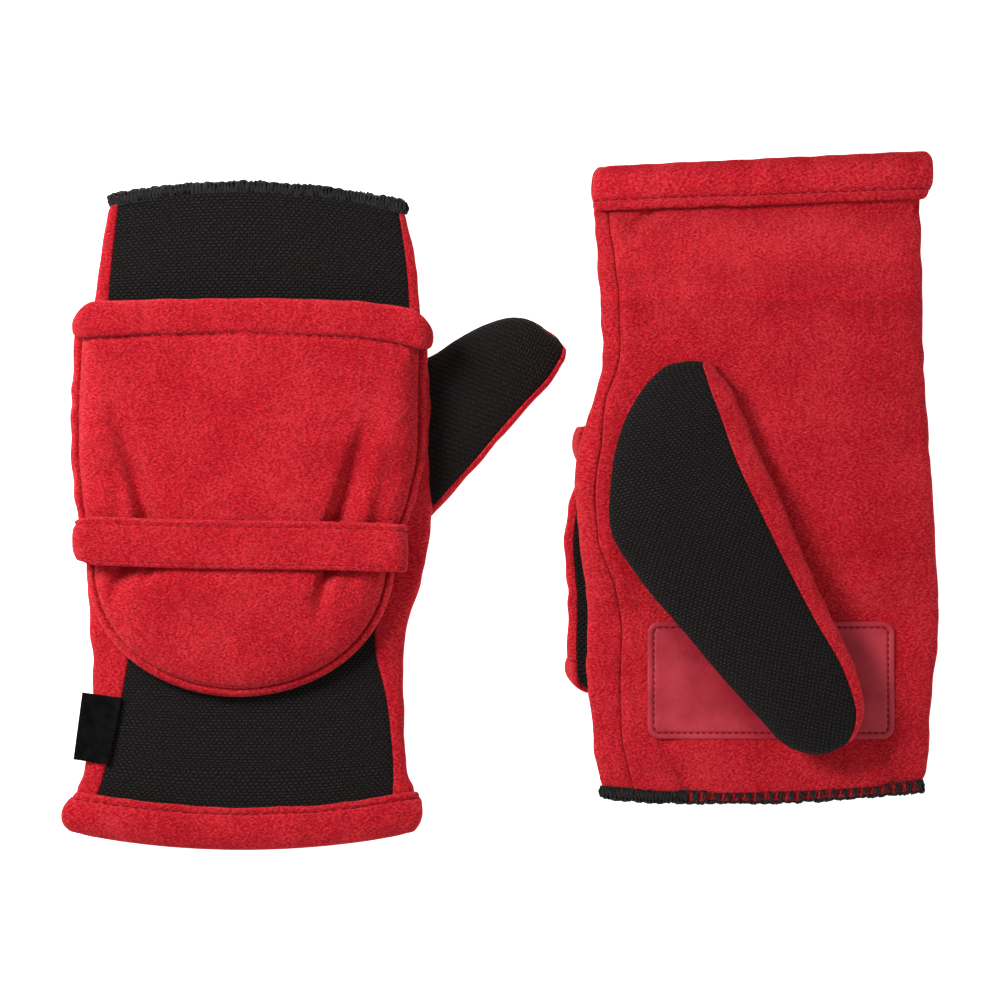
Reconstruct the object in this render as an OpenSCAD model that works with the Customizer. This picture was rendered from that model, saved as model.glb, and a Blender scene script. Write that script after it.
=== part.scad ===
// Convertible flip-top mittens: a pair lying flat, caps folded back under their straps.
// The left mitten lies back up, fingers towards +Y. The right mitten lies palm up, fingers towards -Y.
// Each mitten is drawn in its own frame: back of the hand +Z, fingers +Y, thumb on the +X side,
// the cuff edge near y = 0 and the palm fabric at z = 0. The right one is the left one inverted.

/* [Fabric] */
// Thickness of the fleece
fleece_t = 1.8; // [1.4:0.1:2.0]
// Thickness of the woven back fabric
woven_t = 0.8; // [0.6:0.1:1.0]
// Thickness of the palm grip patch
patch_t = 0.8; // [0.6:0.1:1.0]

/* [Body] */
// Loft of the hand part from palm to back
body_h = 12; // [12:0.2:13]
// Roundness of every flattened tube, from oval to box-like
roundness = 3; // [2.6:0.1:3.4]
// Length of the overlocked edge at the finger opening
overlock_h = 3.4; // [2:0.1:4]

/* [Flip cap] */
// Thickness of the folded-back cap
cap_h = 11; // [11:0.2:12.6]
// Distance of the cap's fold line from the cuff edge
fold_y = 148; // [147:0.5:149]
// Length of the rounded tip
tip_len = 37; // [34:0.5:38]
// Height of the rolled hem round the cap's mouth
cap_hem_h = 12; // [11:0.2:13]

/* [Strap] */
// Width of the strap that holds the cap back
strap_w = 13.6; // [12:0.2:14]
// Middle of the strap from the cuff edge
strap_y = 85.6; // [84:0.2:87]
// Inner radius where the strap folds down over the cap's edges
strap_round = 0.5; // [0.3:0.1:1]

/* [Palm patch] */
// Length of the patch across the palm
patch_len = 69; // [60:1:70]
// Width of the patch
patch_w = 33; // [28:1:34]
// Corner radius of the patch
patch_r = 3.5; // [2:0.5:6]

/* [Pair] */
// Distance between the two mittens' centre lines
pair_gap = 139.4; // [139.4:0.2:170]

/* [Hidden] */
clear = 0.3;
cap_base = body_h + clear;
cap_top = cap_base + cap_h;
hinge_z = cap_base + woven_t / 2;
strap_top = cap_top + clear + fleece_t;
// The finger end is thin enough to sit inside the closed cap, patch included.
end_z = 2 * hinge_z - cap_top + fleece_t + clear + patch_t;
mouth_y = fold_y - 6;
tip_y = 80;
// Flip cap outline: half width and middle at five places from the mouth to the rounded tip.
left_cap_half = [49.6, 49.5, 48.6, 46.6, 44.4];
left_cap_mid = [-2.8, -2.9, -3.2, -4, -4.9];
right_cap_half = [51.9, 51.8, 50.8, 48.2, 45.6];
right_cap_mid = [1.4, 1.6, 1.8, 2, 2.2];
thread_w = 0.5;
patch_centre = [-3.4, 148.3];
patch_inset = 1.6;
left_pos = [-67.2, -98, 0];
right_pos = [left_pos[0] + pair_gap, 98, strap_top];
red = [0.78, 0.06, 0.11];
black = [0.06, 0.06, 0.065];
faux_red = [0.72, 0.12, 0.17];
thread_red = [0.5, 0.03, 0.07];
elastic_white = [0.85, 0.85, 0.83];

// Hand stations: y, x pinky side, x thumb side, z palm, z back, back seam pinky side,
// back seam thumb side, bow of the section, skew of the section.
left_body = [
    [15.2, -51.4, 43.4, 0.4, 11.4, -45.8, 37.2, -4.6, 0],
    [25, -48.8, 41, 0, body_h, -42.8, 37.5, -2.5, 0],
    [42, -46.8, 40.6, 0, body_h, -38.8, 35.6, -1, 0],
    [58, -47, 40.6, 0, body_h, -36.2, 32.2, 0, 0],
    [75, -48.2, 45, 0, body_h, -36.4, 34, 0, 0],
    [92, -48, 48, 0, body_h, -39, 38, 0, 0],
    [112, -48.2, 48, 0, body_h, -41, 41, 0, 0],
    [130, -47.8, 47.4, end_z, body_h, -42.2, 42, 0, 0],
    [148, -46.6, 44.9, end_z, body_h, -42.4, 42, 0.5, 0],
    [165, -44.4, 43.2, end_z, body_h, -41.2, 41, 2.5, -0.5],
    [179.6, -41.6, 40.4, end_z, body_h, -39.6, 39, 4.4, -1]
];
right_body = [
    [14.2, -45.2, 45.2, 10.2, 20.8, -39, 39, 0, 1.7],
    [22, -45.3, 44.4, 7.4, 18.6, -38.5, 38.5, 0, 1],
    [32, -45.6, 43.8, 2.6, 14.4, -38, 37.5, 0, 0.5],
    [42, -45.7, 43.6, 0.1, body_h, -37.6, 36, 0, 0],
    [60, -46.4, 43.2, 0, body_h, -37.6, 35, 0, 0],
    [76, -47.4, 46.5, 0, body_h, -38, 36.4, 0, 0],
    [94, -48.5, 50, 0, body_h, -39.4, 39, 0, 0],
    [112, -49.4, 49.6, 0, body_h, -41, 42, 0, 0],
    [130, -49.8, 47.2, end_z, body_h, -43, 41.4, 0, 0],
    [148, -48.6, 46, end_z, body_h, -43.6, 41.4, 0.5, -0.3],
    [164, -47.6, 45, end_z, body_h, -43, 41, 1.5, -0.9],
    [177.4, -45.8, 43.2, end_z, body_h, -42, 40.4, 2.2, -1.6]
];
// Cuff hem stations, the same columns.
left_hem = [
    [4.6, -53.6, 43.6, 0, 11.2, 0, 0, -4.6, 0],
    [8, -55.2, 44.9, 0, 12.4, 0, 0, -4.6, 0],
    [12.5, -54.6, 45.2, 0, 12.6, 0, 0, -4.6, 0],
    [15, -52.4, 44.6, 0, 12.2, 0, 0, -4.6, 0]
];
right_hem = [
    [2.2, -47.8, 45.4, 13, strap_top - 1, 0, 0, 0, 2.2],
    [6, -48.8, 46.2, 11.8, strap_top, 0, 0, 0, 2],
    [11, -48.4, 46.2, 11, strap_top - 0.8, 0, 0, 0, 1.8],
    [14, -46.4, 45.9, 10.2, 23, 0, 0, 0, 1.7]
];
// Thumb stations: A on the wrist side, B on the finger side, height.
left_thumb = [
    [49.2, 95, 49.2, 137.5, 7.8],
    [54.5, 101, 53.8, 141.2, 8.4],
    [61.2, 108.6, 59.0, 144.6, 8.8],
    [68.4, 117, 64.6, 147.4, 8.6],
    [75.2, 124.6, 70.6, 148.8, 8],
    [81.0, 131, 76.0, 148.4, 7],
    [84.6, 136.4, 80.2, 145.8, 5],
    [85.4, 140, 83, 143.2, 2.2]
];
right_thumb = [
    [23, 62, 29.4, 122, 7.2],
    [11, 65, 28, 125.7, 7.8],
    [3.5, 78, 23, 131.2, 8.2],
    [-4, 94.7, 16.5, 138.5, 8.4],
    [-12, 112, 9, 146.9, 8.5],
    [-20.2, 131, 1.5, 155.5, 8.5],
    [-26, 143.8, -5.5, 163.4, 7.6],
    [-29, 155, -12, 167.8, 5.4],
    [-27.4, 163, -19.5, 168.4, 2.2]
];
thumb_low = 0.6;
// The right thumb's fold line leans a little: x at the cuff edge and x gained per unit of y.
fold_x0 = 19.3;
fold_lean = 0.0857;

function mix(a, b, t) = a + (b - a) * t;
function signed_pow(v, e) = sign(v) * pow(abs(v), e);

// Row i + u of a table: outlines follow a smooth curve, heights (columns 3 and 4) straight lines.
function between(table, i, u) =
    let (p1 = table[i], p2 = table[i + 1],
         p0 = i > 0 ? table[i - 1] : 2 * p1 - p2,
         p3 = i + 2 < len(table) ? table[i + 2] : 2 * p2 - p1,
         curve = 0.5 * (2 * p1 + (p2 - p0) * u + (2 * p0 - 5 * p1 + 4 * p2 - p3) * u * u
                        + (3 * p1 - p0 - 3 * p2 + p3) * u * u * u),
         line = mix(p1, p2, u))
    [for (k = [0:len(p1) - 1]) k == 3 || k == 4 ? line[k] : curve[k]];

function rows(table, parts) =
    [for (i = [0:len(table) - 2], k = [0:parts - 1]) between(table, i, k / parts), table[len(table) - 1]];

// Point of a flattened tube at angle q (0 thumb side, 90 back, 270 palm), t inside its skin.
function tube_point(s, q, t) =
    let (a = (s[2] - s[1]) / 2, b = (s[4] - s[3]) / 2, e = 2 / roundness,
         cx = signed_pow(cos(q), e), cz = signed_pow(sin(q), e))
    [(s[1] + s[2]) / 2 + (a - t) * cx,
     s[0] + s[7] * (1 - cx * cx) + s[8] * cx,
     (s[3] + s[4]) / 2 + (b - t) * cz];

// Angle at which the tube's skin is at x, on its back.
function back_angle(s, x) =
    let (f = (2 * x - s[1] - s[2]) / (s[2] - s[1]))
    acos(signed_pow(max(-0.999, min(0.999, f)), roundness / 2));

function strip(stations, from, to, n, t) =
    [for (s = stations) let (a = from(s), b = to(s)) [for (j = [0:n]) tube_point(s, mix(a, b, j / n), t)]];

function ring(stations, n, t) =
    [for (s = stations) [for (j = [0:n - 1]) tube_point(s, 360 * j / n, t)]];

function points_of(grid) = [for (r = grid) for (p = r) p];

// Closed solid between an outer and an inner grid of points; round = each row closes on itself.
module skin(outer, inner, round = false) {
    m = len(outer);
    n = len(outer[0]);
    base = m * n;
    last = round ? n - 1 : n - 2;
    at = function (i, j) i * n + j % n;
    quad = function (a, b, c, d) [[a, b, c], [a, c, d]];
    sides = concat(
        [for (i = [0:m - 2], j = [0:last])
            each quad(at(i, j), at(i, j + 1), at(i + 1, j + 1), at(i + 1, j))],
        [for (i = [0:m - 2], j = [0:last])
            each quad(base + at(i, j), base + at(i + 1, j), base + at(i + 1, j + 1), base + at(i, j + 1))],
        [for (j = [0:last])
            each quad(at(0, j), base + at(0, j), base + at(0, j + 1), at(0, j + 1))],
        [for (j = [0:last])
            each quad(at(m - 1, j), at(m - 1, j + 1), base + at(m - 1, j + 1), base + at(m - 1, j))]
    );
    edges = round ? [] : concat(
        [for (i = [0:m - 2])
            each quad(at(i, 0), at(i + 1, 0), base + at(i + 1, 0), base + at(i, 0))],
        [for (i = [0:m - 2])
            each quad(at(i, n - 1), base + at(i, n - 1), base + at(i + 1, n - 1), at(i + 1, n - 1))]
    );
    polyhedron(points = concat(points_of(outer), points_of(inner)),
               faces = concat(sides, edges), convexity = 8);
}

function palm_angle(s, x) = 360 - back_angle(s, x);

// The hand: back panel, thumb-side panel, and a palm panel that wraps the pinky side.
function body_rows(right) = rows(right ? right_body : left_body, 2);
function fold_x(y) = fold_x0 + fold_lean * y;
function side_angle(s) = 360 - back_angle(s, s[2] - 5.5);

// Where the thumb is sewn in, seen from the palm.
module thumb_seam(right) {
    if (right)
        polygon([[13.5, 63], [20, 60], [26.8, 61.6], [31.9, 66.4], [36.9, 74.2], [40.3, 86.5],
                 [41, 97], [40, 106.7], [36.5, 114.5], [31, 122.4], [26, 119], [19.5, 92]]);
    else
        polygon([for (q = [4:12:352]) [43 + 12 * cos(q), 116 + 21 * sin(q)]]);
}

// The part of that opening the thumb's own fabric fills; the rest is the way into the thumb.
module gusset_side(right) {
    if (right)
        polygon([[fold_x(50) + 1, 50], [60, 50], [60, 130], [fold_x(130) + 1, 130]]);
    else
        translate([20, 90]) square([16.5, 60]);
}

module palm_half(depth = 5.2) {
    translate([0, 0, -1]) linear_extrude(1 + depth) children();
}

module back_panel(right) {
    s = body_rows(right);
    from = function (s) back_angle(s, s[6]);
    to = function (s) back_angle(s, s[5]);
    color(black) skin(strip(s, from, to, 10, 0), strip(s, from, to, 10, woven_t));
}

module palm_panel(right) {
    s = body_rows(right);
    from = function (s) back_angle(s, s[5]);
    to = function (s) side_angle(s);
    color(red) difference() {
        skin(strip(s, from, to, 16, 0), strip(s, from, to, 16, fleece_t));
        palm_half() thumb_seam(right);
    }
}

module side_panel(right) {
    s = body_rows(right);
    from = function (s) side_angle(s) - 360;
    to = function (s) back_angle(s, s[6]);
    color(red) difference() {
        skin(strip(s, from, to, 6, 0), strip(s, from, to, 6, fleece_t));
        palm_half() thumb_seam(right);
    }
}

module thumb_gusset(right) {
    s = body_rows(right);
    from = function (s) palm_angle(s, 0);
    to = function (s) side_angle(s);
    color(black) intersection() {
        skin(strip(s, from, to, 8, 0), strip(s, from, to, 8, woven_t));
        palm_half() intersection() {
            offset(delta = -0.05) thumb_seam(right);
            gusset_side(right);
        }
    }
}

module cuff_hem(right) {
    s = rows(right ? right_hem : left_hem, 2);
    color(red) skin(ring(s, 32, 0), ring(s, 32, fleece_t + 1), true);
}

module finger_overlock(right) {
    table = right ? right_body : left_body;
    end = table[len(table) - 1];
    s = [for (k = [0:2]) end + [clear / 2 + overlock_h * k / 2, -0.3, 0.3, 0, 0, 0, 0, 0, 0]];
    color(black) skin(ring(s, 32, 0), ring(s, 32, woven_t), true);
}

module wrist_elastic() {
    color(elastic_white) translate([-22, 46, fleece_t + 0.3]) cube([38, 6, 0.8]);
}

// Palm patch with a groove for its stitching.
module patch_outline(inset) {
    r = patch_r - inset / 2;
    hull() for (x = [-1, 1], y = [-1, 1])
        translate([x * (patch_len / 2 - inset - r), y * (patch_w / 2 - inset - r)]) circle(r, $fn = 32);
}

module stitch_line(depth) {
    linear_extrude(depth) difference() {
        patch_outline(patch_inset);
        patch_outline(patch_inset + thread_w);
    }
}

module on_palm() {
    translate([patch_centre[0], patch_centre[1], end_z - patch_t]) children();
}

module grip_patch() {
    color(faux_red) on_palm() difference() {
        linear_extrude(patch_t) patch_outline(0);
        translate([0, 0, -1]) stitch_line(1 + patch_t / 2);
    }
}

module patch_stitching() {
    color(thread_red) on_palm() stitch_line(patch_t / 2);
}

// Strap: a band over the folded-back cap, down past its two side edges. One end turns in to the
// side of the hand, the other ends on the back.
function strap_ends(right) = right ? [-46, 51.2] : [-51.4, 44.6];
strap_foot = 9.8;

module arch(ends, grow) {
    r = strap_round + grow;
    high = cap_top + clear + grow;
    hull() {
        translate([ends[0] - grow, strap_foot - 20]) square([ends[1] - ends[0] + 2 * grow, 1]);
        for (x = [ends[0] - grow + r, ends[1] + grow - r]) translate([x, high - r]) circle(r, $fn = 32);
    }
}

module strap(right) {
    ends = strap_ends(right);
    color(red) translate([0, strap_y + strap_w / 2, 0]) rotate([90, 0, 0]) linear_extrude(strap_w) {
        intersection() {
            difference() {
                arch(ends, fleece_t);
                arch(ends, 0);
            }
            translate([-100, strap_foot]) square([200, 100]);
        }
        translate([right ? 50.1 : ends[0] - fleece_t, strap_foot - fleece_t])
            square([right ? ends[1] + fleece_t - 50.1 : -48.5 - ends[0] + fleece_t, fleece_t]);
    }
}

// Thumb: a flattened tube from A to B at each station, open at the hand, closed at the tip.
function thumb_point(s, q, t, lift) =
    let (a = [s[0], s[1]], b = [s[2], s[3]], half = norm(b - a) / 2, mid = (a + b) / 2,
         along = (b - a) / (2 * half), e = 2 / roundness, h = s[4] / 2,
         across = mid + along * (half - min(t, 0.46 * half)) * signed_pow(cos(q), e))
    [across[0], across[1], lift + h + (h - min(t, 0.92 * h)) * signed_pow(sin(q), e)];

function thumb_half(right, upper, t, skip) =
    let (table = right ? right_thumb : left_thumb)
    [for (i = [skip:len(table) - 1])
        let (s = table[i], lift = right ? -thumb_low - s[4] : thumb_low + (8.8 - s[4]) / 2)
        [for (j = [0:10]) thumb_point(s, (upper ? 0 : 180) + 18 * j, t, lift)]];

module thumb_shell(right, upper, t, skip = 0) {
    skin(thumb_half(right, upper, 0, skip), thumb_half(right, upper, t, skip));
}

module thumb_back(right) {
    color(black) thumb_shell(right, !right, woven_t);
}

module thumb_palm(right) {
    color(red) thumb_shell(right, right, fleece_t, right ? 1 : 0);
}

// Flip cap, folded back: flat woven back, fleece pocket above it, rolled hem at the mouth.
function cap_half(right) = right ? right_cap_half : left_cap_half;
function cap_mid(right) = right ? right_cap_mid : left_cap_mid;
function cap_edge(right, k, side) =
    [cap_mid(right)[k] + side * cap_half(right)[k], mix(mouth_y, tip_y, k / 4)];
function cap_tip(right, q) =
    [cap_mid(right)[4] - sin(q) + cap_half(right)[4] * cos(q), tip_y - tip_len * sin(q)];

module cap_outline(right, top_y) {
    polygon(concat(
        [[cap_edge(right, 0, 1)[0], top_y]],
        [for (k = [0:3]) cap_edge(right, k, 1)],
        [for (q = [6:8:174]) cap_tip(right, q)],
        [for (k = [3:-1:0]) cap_edge(right, k, -1)],
        [[cap_edge(right, 0, -1)[0], top_y]]
    ));
}

module cap_back(right) {
    color(black) translate([0, 0, cap_base]) linear_extrude(woven_t) cap_outline(right, fold_y);
}

module cap_palm(right) {
    inner = cap_half(right)[0] - fleece_t;
    color(red) translate([0, 0, cap_base + woven_t]) difference() {
        linear_extrude(cap_h - woven_t) cap_outline(right, mouth_y);
        translate([0, 0, -1]) linear_extrude(1 + cap_h - woven_t - fleece_t) {
            offset(delta = -fleece_t) cap_outline(right, mouth_y);
            translate([cap_mid(right)[0] - inner, mouth_y - 5]) square([2 * inner, 10]);
        }
    }
}

module hem_profile(right, grow) {
    r = 3;
    low = cap_base + woven_t;
    wide = cap_half(right)[0] + grow;
    high = cap_top + grow;
    translate([cap_mid(right)[0], 0]) hull() {
        translate([-wide, low]) square([2 * wide, 1]);
        for (x = [-1, 1]) translate([x * (wide - r), high - r]) circle(r, $fn = 32);
    }
}

module cap_hem(right) {
    color(red) translate([0, mouth_y + cap_hem_h + clear / 2, 0]) rotate([90, 0, 0])
        linear_extrude(cap_hem_h) difference() {
            hem_profile(right, 0.8);
            translate([0, -1]) hem_profile(right, 1.6 - 2 * fleece_t);
        }
}

// Blank side tag, sewn into the pinky-side back seam.
tag_w = 9.8;
tag_len = 19;
tag_t = 0.6;
tag_seam = [-41.2, 33.5, 11.1];

module side_tag() {
    color(black) translate(tag_seam) rotate([0, -12, -8]) translate([-tag_w, -tag_len / 2, 0])
        cube([tag_w, tag_len, tag_t]);
}

module left() {
    translate(left_pos) children();
}

module right() {
    translate(right_pos) rotate([0, 0, 180]) mirror([0, 0, 1]) children();
}

module left_palm_panel() {
    left() palm_panel(false);
}

module left_side_panel() {
    left() side_panel(false);
}

module left_back_panel() {
    left() back_panel(false);
}

module left_cuff_hem() {
    left() cuff_hem(false);
}

module left_finger_overlock() {
    left() finger_overlock(false);
}

module left_wrist_elastic() {
    left() wrist_elastic();
}

module left_thumb_gusset() {
    left() thumb_gusset(false);
}

module left_grip_patch() {
    left() grip_patch();
}

module left_patch_stitching() {
    left() patch_stitching();
}

module left_strap() {
    left() strap(false);
}

module left_thumb_back() {
    left() thumb_back(false);
}

module left_thumb_palm() {
    left() thumb_palm(false);
}

module left_cap_palm() {
    left() cap_palm(false);
}

module left_cap_back() {
    left() cap_back(false);
}

module left_cap_hem() {
    left() cap_hem(false);
}

module left_side_tag() {
    left() side_tag();
}

module right_palm_panel() {
    right() palm_panel(true);
}

module right_side_panel() {
    right() side_panel(true);
}

module right_back_panel() {
    right() back_panel(true);
}

module right_cuff_hem() {
    right() cuff_hem(true);
}

module right_finger_overlock() {
    right() finger_overlock(true);
}

module right_wrist_elastic() {
    right() wrist_elastic();
}

module right_thumb_gusset() {
    right() thumb_gusset(true);
}

module right_grip_patch() {
    right() grip_patch();
}

module right_patch_stitching() {
    right() patch_stitching();
}

module right_strap() {
    right() strap(true);
}

module right_thumb_back() {
    right() thumb_back(true);
}

module right_thumb_palm() {
    right() thumb_palm(true);
}

module right_cap_palm() {
    right() cap_palm(true);
}

module right_cap_back() {
    right() cap_back(true);
}

module right_cap_hem() {
    right() cap_hem(true);
}

left_palm_panel();
left_side_panel();
left_back_panel();
left_cuff_hem();
left_finger_overlock();
left_wrist_elastic();
left_thumb_gusset();
left_grip_patch();
left_patch_stitching();
left_strap();
left_thumb_back();
left_thumb_palm();
left_cap_palm();
left_cap_back();
left_cap_hem();
left_side_tag();
right_palm_panel();
right_side_panel();
right_back_panel();
right_cuff_hem();
right_finger_overlock();
right_wrist_elastic();
right_thumb_gusset();
right_grip_patch();
right_patch_stitching();
right_strap();
right_thumb_back();
right_thumb_palm();
right_cap_palm();
right_cap_back();
right_cap_hem();
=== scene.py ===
import math

import bmesh
import bpy
import numpy as np
from mathutils import Matrix, Vector


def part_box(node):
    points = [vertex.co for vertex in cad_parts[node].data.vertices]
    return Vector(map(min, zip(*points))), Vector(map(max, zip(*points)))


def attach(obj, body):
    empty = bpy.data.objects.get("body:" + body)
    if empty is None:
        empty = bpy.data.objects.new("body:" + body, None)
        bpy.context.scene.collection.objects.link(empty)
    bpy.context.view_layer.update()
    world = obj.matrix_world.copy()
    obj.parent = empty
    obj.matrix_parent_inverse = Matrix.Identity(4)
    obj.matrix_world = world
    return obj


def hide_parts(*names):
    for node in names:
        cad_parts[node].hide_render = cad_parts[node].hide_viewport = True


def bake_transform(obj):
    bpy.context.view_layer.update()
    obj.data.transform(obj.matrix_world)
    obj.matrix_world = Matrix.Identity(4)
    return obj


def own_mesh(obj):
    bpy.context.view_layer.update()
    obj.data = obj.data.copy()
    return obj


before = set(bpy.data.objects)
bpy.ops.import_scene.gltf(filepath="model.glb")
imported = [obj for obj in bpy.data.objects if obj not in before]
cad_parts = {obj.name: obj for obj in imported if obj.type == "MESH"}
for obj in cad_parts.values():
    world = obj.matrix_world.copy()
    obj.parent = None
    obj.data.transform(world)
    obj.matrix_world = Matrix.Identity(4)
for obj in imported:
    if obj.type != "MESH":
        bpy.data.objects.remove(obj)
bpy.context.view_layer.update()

# Convertible flip-top mittens: a pair lying flat, caps folded back under their straps.
# Every shape is drawn in its own mitten's frame, in millimetres: back of the hand +Z, fingers +Y,
# thumb on the +X side, the cuff edge near y = 0 and the palm fabric at z = 0. to_row() puts it in the
# row frame; the right mitten is the left one inverted through a point, as in the CAD.

MM = 0.001
SIDES = ("left", "right")

# Fabric: thickness, the gap between layers, and how far in from an edge its rounding reaches.
FLEECE_T = 1.8
WOVEN_T = 0.8
CLEAR = 0.3
RIM_FLEECE = 0.7
RIM_WOVEN = 0.35
# Points closer than this, in metres, are one point.
WELD = 0.004 * MM

# Hand: its height, how high the palm lies at the fingers, and the exponent of its section's curve.
BODY_H = 12
END_Z = 5
ROUNDNESS = 3
# Patch: its middle, size and corner radius, and how far it stands out of the palm.
PATCH_CENTRE = (-3.4, 148.3)
PATCH_SIZE = (69, 33)
PATCH_R = 3.5
PATCH_PROUD = 0.8

# Flip cap: y of its first station at the mouth and of its last, where the round tip starts, and how far
# the tip reaches from there; heights of its lower and upper face; the hem's lower line and depth; how
# far in from the edge the sewn groove runs and how high the margin outside it stands.
MOUTH_Y = 142
TIP_Y = 80
TIP_LEN = 37
CAP_BASE = BODY_H + CLEAR
CAP_TOP = CAP_BASE + 11
HEM_LINE = 144.8
HEM_H = 9.6
GROOVE = 2.3
LIP_H = 3.4
# Half the cap's width and its middle, at even steps from the mouth to the tip; x of the hem's ends.
CAP_HALF = {"left": [49.3, 49.6, 49.4, 47.2, 43.9], "right": [50.8, 51.1, 51.6, 49.6, 45.7]}
CAP_MID = {"left": [-2.5, -3, -3.2, -4.1, -5], "right": [2.6, 2.2, 2.7, 2.7, 2.2]}
HEM_ENDS = {"left": (-52.3, 48.3), "right": (-48.8, 53.8)}

# Strap: y of its middle, width, upper face, x of its ends, and how it slopes across the hand.
STRAP_Y = 85.6
STRAP_W = 13.6
STRAP_TOP = CAP_TOP + CLEAR + FLEECE_T
STRAP_ENDS = {"left": (-52, 41.3), "right": (-47.8, 51.8)}
STRAP_TILT = {"left": 0.026, "right": 0.04}

# Hand stations: y, x pinky side, x thumb side, z palm, z back, back seam pinky side,
# back seam thumb side, bow of the section, skew of the section.
BODY = {
    "left": [
        [15.2, -51.4, 43.4, 0.4, 11.4, -45.8, 37.2, -4.6, 0],
        [25, -48.8, 41, 0, 12, -42.8, 37.5, -2.5, 0],
        [42, -46.8, 40.6, 0, 12, -38.8, 35.6, -1, 0],
        [58, -47, 40.6, 0, 12, -36.2, 32.2, 0, 0],
        [75, -48.2, 45, 0, 12, -36.4, 34, 0, 0],
        [92, -48, 48, 0, 12, -39, 38, 0, 0],
        [112, -48.2, 48, 0, 12, -41, 41, 0, 0],
        [130, -47.8, 47.4, 5, 12, -42.2, 42, 0, 0],
        [148, -46.6, 44.9, 5, 12, -42.4, 42, 0.5, 0],
        [165, -44.4, 43.2, 5, 12, -41.2, 41, 2.5, -0.5],
        [179.6, -41.6, 40.4, 5, 12, -39.6, 39, 4.4, -1],
    ],
    "right": [
        [14.2, -45.2, 46, 10.2, 20.8, -39, 39, 0, 1.7],
        [22, -45.3, 45.5, 7.4, 18.6, -38.5, 38.5, 0, 1],
        [32, -45.6, 44.9, 2.6, 14.4, -38, 37.5, 0, 0.5],
        [42, -45.7, 44.4, 0.1, 12, -37.6, 36, 0, 0],
        [60, -46.4, 44, 0, 12, -37.6, 35, 0, 0],
        [76, -47.4, 47.7, 0, 12, -38, 36.4, 0, 0],
        [94, -48.5, 50, 0, 12, -39.4, 39, 0, 0],
        [112, -49.4, 49.6, 0, 12, -41, 42, 0, 0],
        [130, -49.8, 47.2, 5, 12, -43, 41.4, 0, 0],
        [148, -48.6, 46.9, 5, 12, -43.6, 41.4, 0.5, 0.1],
        [164, -47.4, 45.6, 5, 12, -43, 41, 1.5, 0.5],
        [177.6, -45.6, 43.4, 5, 12, -42, 40.4, 2.2, 0.9],
    ],
}
# Cuff hem stations, the same columns without the seams.
CUFF = {
    "left": [
        [4.6, -52.4, 42.6, 0, 11.2, 0, 0, -4.6, 0],
        [8, -55.2, 44.9, 0, 12.4, 0, 0, -4.6, 0],
        [12.5, -54.6, 45.2, 0, 12.6, 0, 0, -4.6, 0],
        [16.8, -51, 44.2, 0, 12.2, 0, 0, -4.6, 0],
    ],
    "right": [
        [2.2, -46.8, 44.2, 13, 24.4, 0, 0, 0, 2.2],
        [5, -48.7, 46.2, 12, 25.4, 0, 0, 0, 2.1],
        [11, -48.4, 46.2, 11, 24.6, 0, 0, 0, 1.8],
        [15.6, -46.6, 45.8, 9.8, 22.6, 0, 0, 0, 1.7],
    ],
}
# How far in from the thumb-side edge the palm and side panels meet: y, distance.
SIDE_SEAM = {
    "left": [(15, 5), (60, 5), (110, 5), (180, 5)],
    "right": [(16, 3.4), (27, 4.6), (40, 5.3), (58, 5), (69, 3.3), (83, 5.2), (97, 4.6),
              (110, 5), (121, 8), (135, 8.9), (164, 7.5), (178, 8.6)],
}
# Thumb stations: A (wrist side) x, y, B (finger side) x, y, height, share of the width from A to
# where the fleece half wraps round to the outside face, z of the side that faces the palm.
THUMB = {
    "left": [
        [43, 90, 43, 136.2, 7.0, 0.045, 1.2],
        [49.2, 95, 49.2, 139.2, 7.8, 0.045, 0.9],
        [54.5, 101, 53.8, 142.4, 8.4, 0.042, 0.7],
        [61.2, 108.6, 59, 145.5, 8.8, 0.042, 0.6],
        [68.4, 117, 64.6, 148, 8.6, 0.045, 0.6],
        [75.2, 124.6, 70.6, 149.4, 8, 0.055, 0.8],
        [81, 131, 76.2, 148.5, 7, 0.07, 1.2],
        [84.9, 137, 80.4, 145.6, 5, 0.12, 2.2],
        [85.6, 140.6, 83.4, 143.4, 2, 0.2, 3.6],
    ],
    "right": [
        [14.6, 59.2, 18.6, 59.0, 1.6, 0.25, 0.4],
        [12.6, 61.2, 26.8, 61.2, 3.6, 0.2, 0.2],
        [8.4, 66.6, 34.2, 69.3, 5.4, 0.2, 0.1],
        [4.4, 75, 39.2, 79.8, 6.8, 0.17, 0.1],
        [0.4, 85, 41.6, 93, 7.8, 0.15, 0.1],
        [-4.4, 94.6, 41.4, 107, 8.6, 0.14, 0.1],
        [-9.2, 106.7, 34.2, 119, 9, 0.125, 0.2],
        [-14.3, 118.8, 22.4, 133.2, 9, 0.12, 0.4],
        [-19.8, 130.6, 10.8, 147.3, 8.8, 0.115, 0.5],
        [-25.6, 142.6, 0, 159.2, 8.6, 0.1, 0.6],
        [-28.6, 152.6, -5.6, 165.4, 7.4, 0.09, 0.8],
        [-28.6, 158.6, -11, 168.2, 5.6, 0.085, 1.4],
        [-26.6, 163.6, -16, 169, 3.4, 0.085, 2.2],
        [-24, 166.6, -20, 168.4, 1.2, 0.1, 3.2],
    ],
}


# ---------------------------------------------------------------- numbers

def mix(a, b, t):
    """a at t = 0, b at t = 1."""
    return a + (b - a) * t


def smooth(t):
    """0 up to t = 0 and 1 from t = 1, with an S between."""
    t = np.clip(t, 0, 1)
    return t * t * (3 - 2 * t)


def bell(x, width):
    """1 at x = 0, falling away on both sides."""
    return np.exp(-(x / width) ** 2)


def dome(t):
    """0 at t = 0 rising like a quarter circle to 1 at t = 1."""
    t = np.clip(t, 0, 1)
    return np.sqrt(np.clip(1 - (1 - t) ** 2, 0, 1))


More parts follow.
